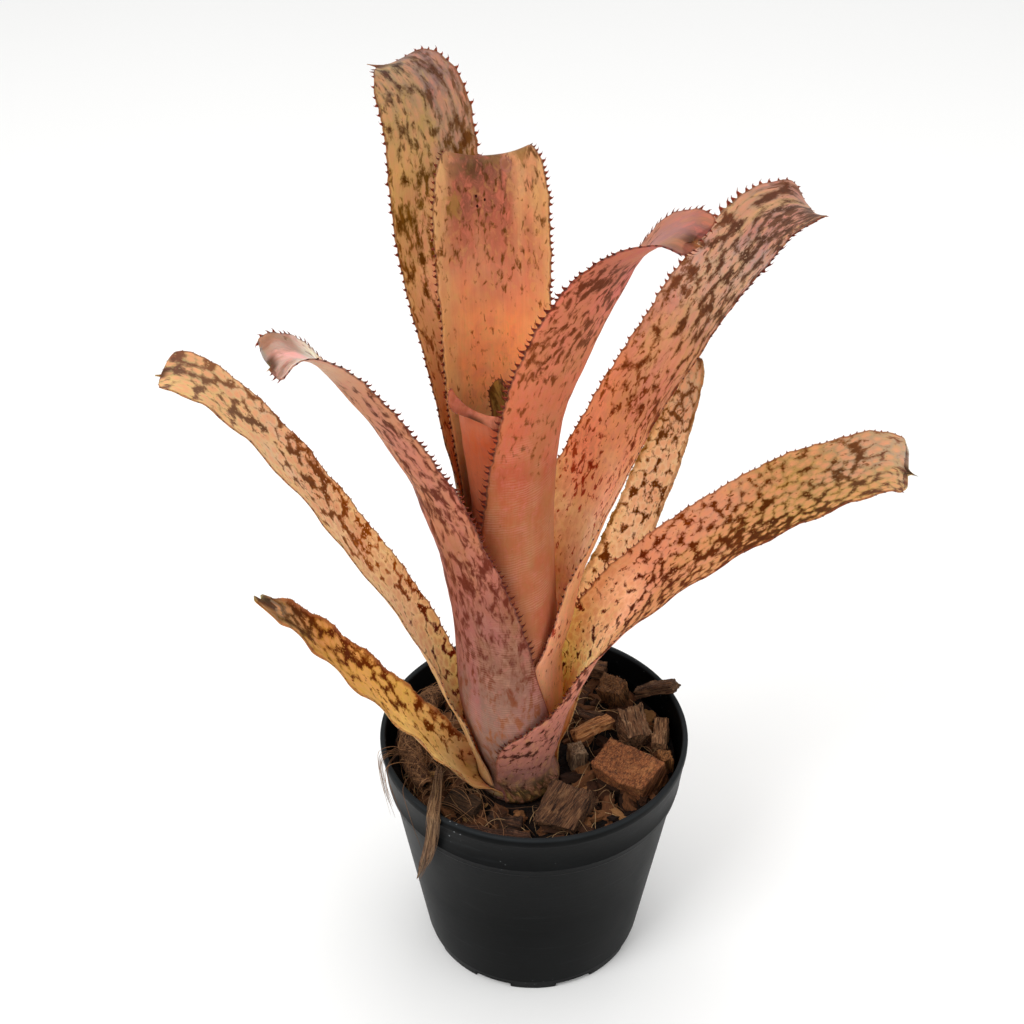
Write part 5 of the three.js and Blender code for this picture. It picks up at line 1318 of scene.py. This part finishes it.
def makeStrand():
    draw = random.Random(coir["strandSeed"])
    heap = Heap()
    rows = np.array(coir["strand"], float)
    lip = rows[5, :3]
    aside = unit(np.array([-lip[1], lip[0], 0]))
    t = np.linspace(0, len(rows) - 1, 90)
    course = spline(rows, t)
    centre, width = course[:, :3], course[:, 3]
    normal = unit(np.cross(np.gradient(centre, axis=0), aside))
    share = t / t[-1]

    # three flat bands of husk that part towards the end
    for middle, broad, drop in coir["bands"]:
        keep = share <= drop
        part = ease((share - 0.55) / 0.45)[:, None] * middle * 2.2
        offset = middle * width[:, None] + part + 0.25 * np.sin(share * 23 + middle * 9)[:, None]
        line = (centre + aside * offset + normal * 0.15 * np.sin(share * 17 + middle * 20)[:, None])[keep]
        taper = np.interp(share, [0, 0.05, drop * 0.86, drop], [0.4, 1, 0.8, 0.12])
        half = (np.maximum(width * broad / 2, 0.35) * taper)[keep]
        sides = 28
        points = []
        for k, (at, w, n) in enumerate(zip(line, half, normal[keep])):
            for j in range(sides):
                angle = j / sides * 2 * math.pi
                groove = 1 + 0.2 * math.sin(j * 2.9 + middle * 30 + k * 0.04)
                groove += 0.12 * math.sin(j * 5.3 + k * 0.09)
                points.append(at + aside * w * math.cos(angle) + n * 0.62 * groove * math.sin(angle))
        faces = walls(len(line), sides) + caps(len(line), sides)
        heap.add(points, faces, look=1, tone=draw.uniform(0.3, 0.8))
    for _ in range(coir["strandFibres"]):
        place, drift, stray = draw.uniform(-0.5, 0.5), draw.uniform(-0.25, 0.25), draw.choice([0.3, 0.6, 1.4])
        first = draw.uniform(0, 0.45)
        last = min(1, first + draw.uniform(0.3, 0.7))
        s = np.linspace(first, last, 26)
        mid, out = [np.stack([np.interp(s, share, rows[:, k]) for k in range(3)], 1)
                    for rows in (centre, normal)]
        wide = np.interp(s, share, width)
        a, b = draw.uniform(0, 6.3), draw.uniform(0, 6.3)
        offset = (place + drift * (s - first)) * wide + 0.3 * stray * np.sin(s * 19 + a)
        lift = draw.choice([-1, 1]) * 0.62 + 0.35 * stray * np.sin(s * 14 + b) * draw.choice([0.4, 1])
        route = mid + aside * offset[:, None] + out * lift[:, None]
        ends = ([0, 0.1, 0.85, 1], [0.4, 1, 1, 0.3])
        heap.fibre(route, draw.uniform(0.08, 0.2), ends, draw.random())
    finishes = [fibreFinish("strand fibre", "#4E3220", "#9C7A56"), strandFinish()]
    return settle(heap.piece("coir_strand_fibres", finishes), "coir_strand", "coir_strand")


def strandFinish():
    husk = Finish("husk strand")
    at = husk.node("TexCoord", {}, {}, "Object")
    grain = husk.noise(at * (1, 1, 0.12), 1300, 4, 0.6, 0.2)
    patch = husk.noise(at, 120, 3, 0.5)
    colour = husk.mix(grain.rise(0.35, 0.68), "#3A2214", "#8A6648")
    colour = husk.shade(colour, 0.7 + patch * 0.6)
    return husk.close(colour, 0.75, grain, 0.9, 0.0006, gloss=0.25)


makeWad()
makeStrand()
print("coir made")


# Stem
def stemFinish():
    wood = Finish("stem under the leaves")
    at = wood.node("TexCoord", {}, {}, "Object")
    rings = wood.noise(at * (1, 1, 6), 60, 4, 0.6)
    patch = wood.noise(at, 90, 3, 0.55)
    colour = wood.mix(rings.rise(0.35, 0.7), "#3A2214", "#6E4A38")
    colour = wood.mix(patch.rise(0.5, 0.75) * 0.4, colour, "#5E4C2A")
    return wood.close(colour, 0.7 + patch * 0.15, rings, 0.7, 0.001)


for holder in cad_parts["stem"].material_slots:
    holder.material = stemFinish()

# Floor, light and camera
studio = {
    "floorReach": 4000, "floor": "#FAFAF9", "world": "#FFFFFF", "worldStrength": 0.77,
    "key": {"at": (-0.9, -1.0, 1.5), "aim": (0, 0, 0.2), "size": 0.8, "power": 16},
    "fill": {"at": (1.3, -0.6, 1.0), "aim": (0, 0, 0.2), "size": 1.2, "power": 5},
    "top": {"at": (0.1, 0.4, 1.8), "aim": (0, 0, 0.2), "size": 0.9, "power": 7},
    "cameraAt": (-0.0107, -0.6516, 0.7258), "cameraDown": 35.67, "lens": 63.28,
}


def makeFloor():
    heap = Heap()
    reach = studio["floorReach"]
    corners = [(-reach, -reach, 0), (reach, -reach, 0), (reach, reach, 0), (-reach, reach, 0)]
    heap.add(corners, [[0, 1, 2, 3]])
    paper = Finish("studio paper")
    at = paper.node("TexCoord", {}, {}, "Object")
    colour = paper.mix(paper.noise(at, 1.4, 2, 0.5), studio["floor"], "#F6F6F5")
    floor = heap.piece("studio_floor", [paper.close(colour, 0.85, gloss=0.1)])


def makeLight(name):
    lamp = studio[name]
    data = bpy.data.lights.new(name, "AREA")
    data.shape, data.size, data.energy = "SQUARE", lamp["size"], lamp["power"]
    light = bpy.data.objects.new(name, data)
    light.location = lamp["at"]
    light.rotation_euler = (Vector(lamp["aim"]) - Vector(lamp["at"])).to_track_quat("-Z", "Y").to_euler()
    bpy.context.scene.collection.objects.link(light)


def makeStudio():
    makeFloor()
    for name in ("key", "fill", "top"):
        makeLight(name)
    world = bpy.data.worlds.new("studio")
    world.use_nodes = True
    sky = world.node_tree.nodes["Background"]
    sky.inputs["Color"].default_value = paint(studio["world"])
    sky.inputs["Strength"].default_value = studio["worldStrength"]
    bpy.context.scene.world = world
    bpy.context.scene.view_settings.view_transform = "Standard"
    data = bpy.data.cameras.new("camera")
    data.lens, data.sensor_width, data.clip_end = studio["lens"], 36, 50
    camera = bpy.data.objects.new("camera", data)
    camera.location = studio["cameraAt"]
    camera.rotation_euler = (math.radians(90 - studio["cameraDown"]), 0, 0)
    bpy.context.scene.collection.objects.link(camera)
    bpy.context.scene.camera = camera


makeStudio()
print("studio made")
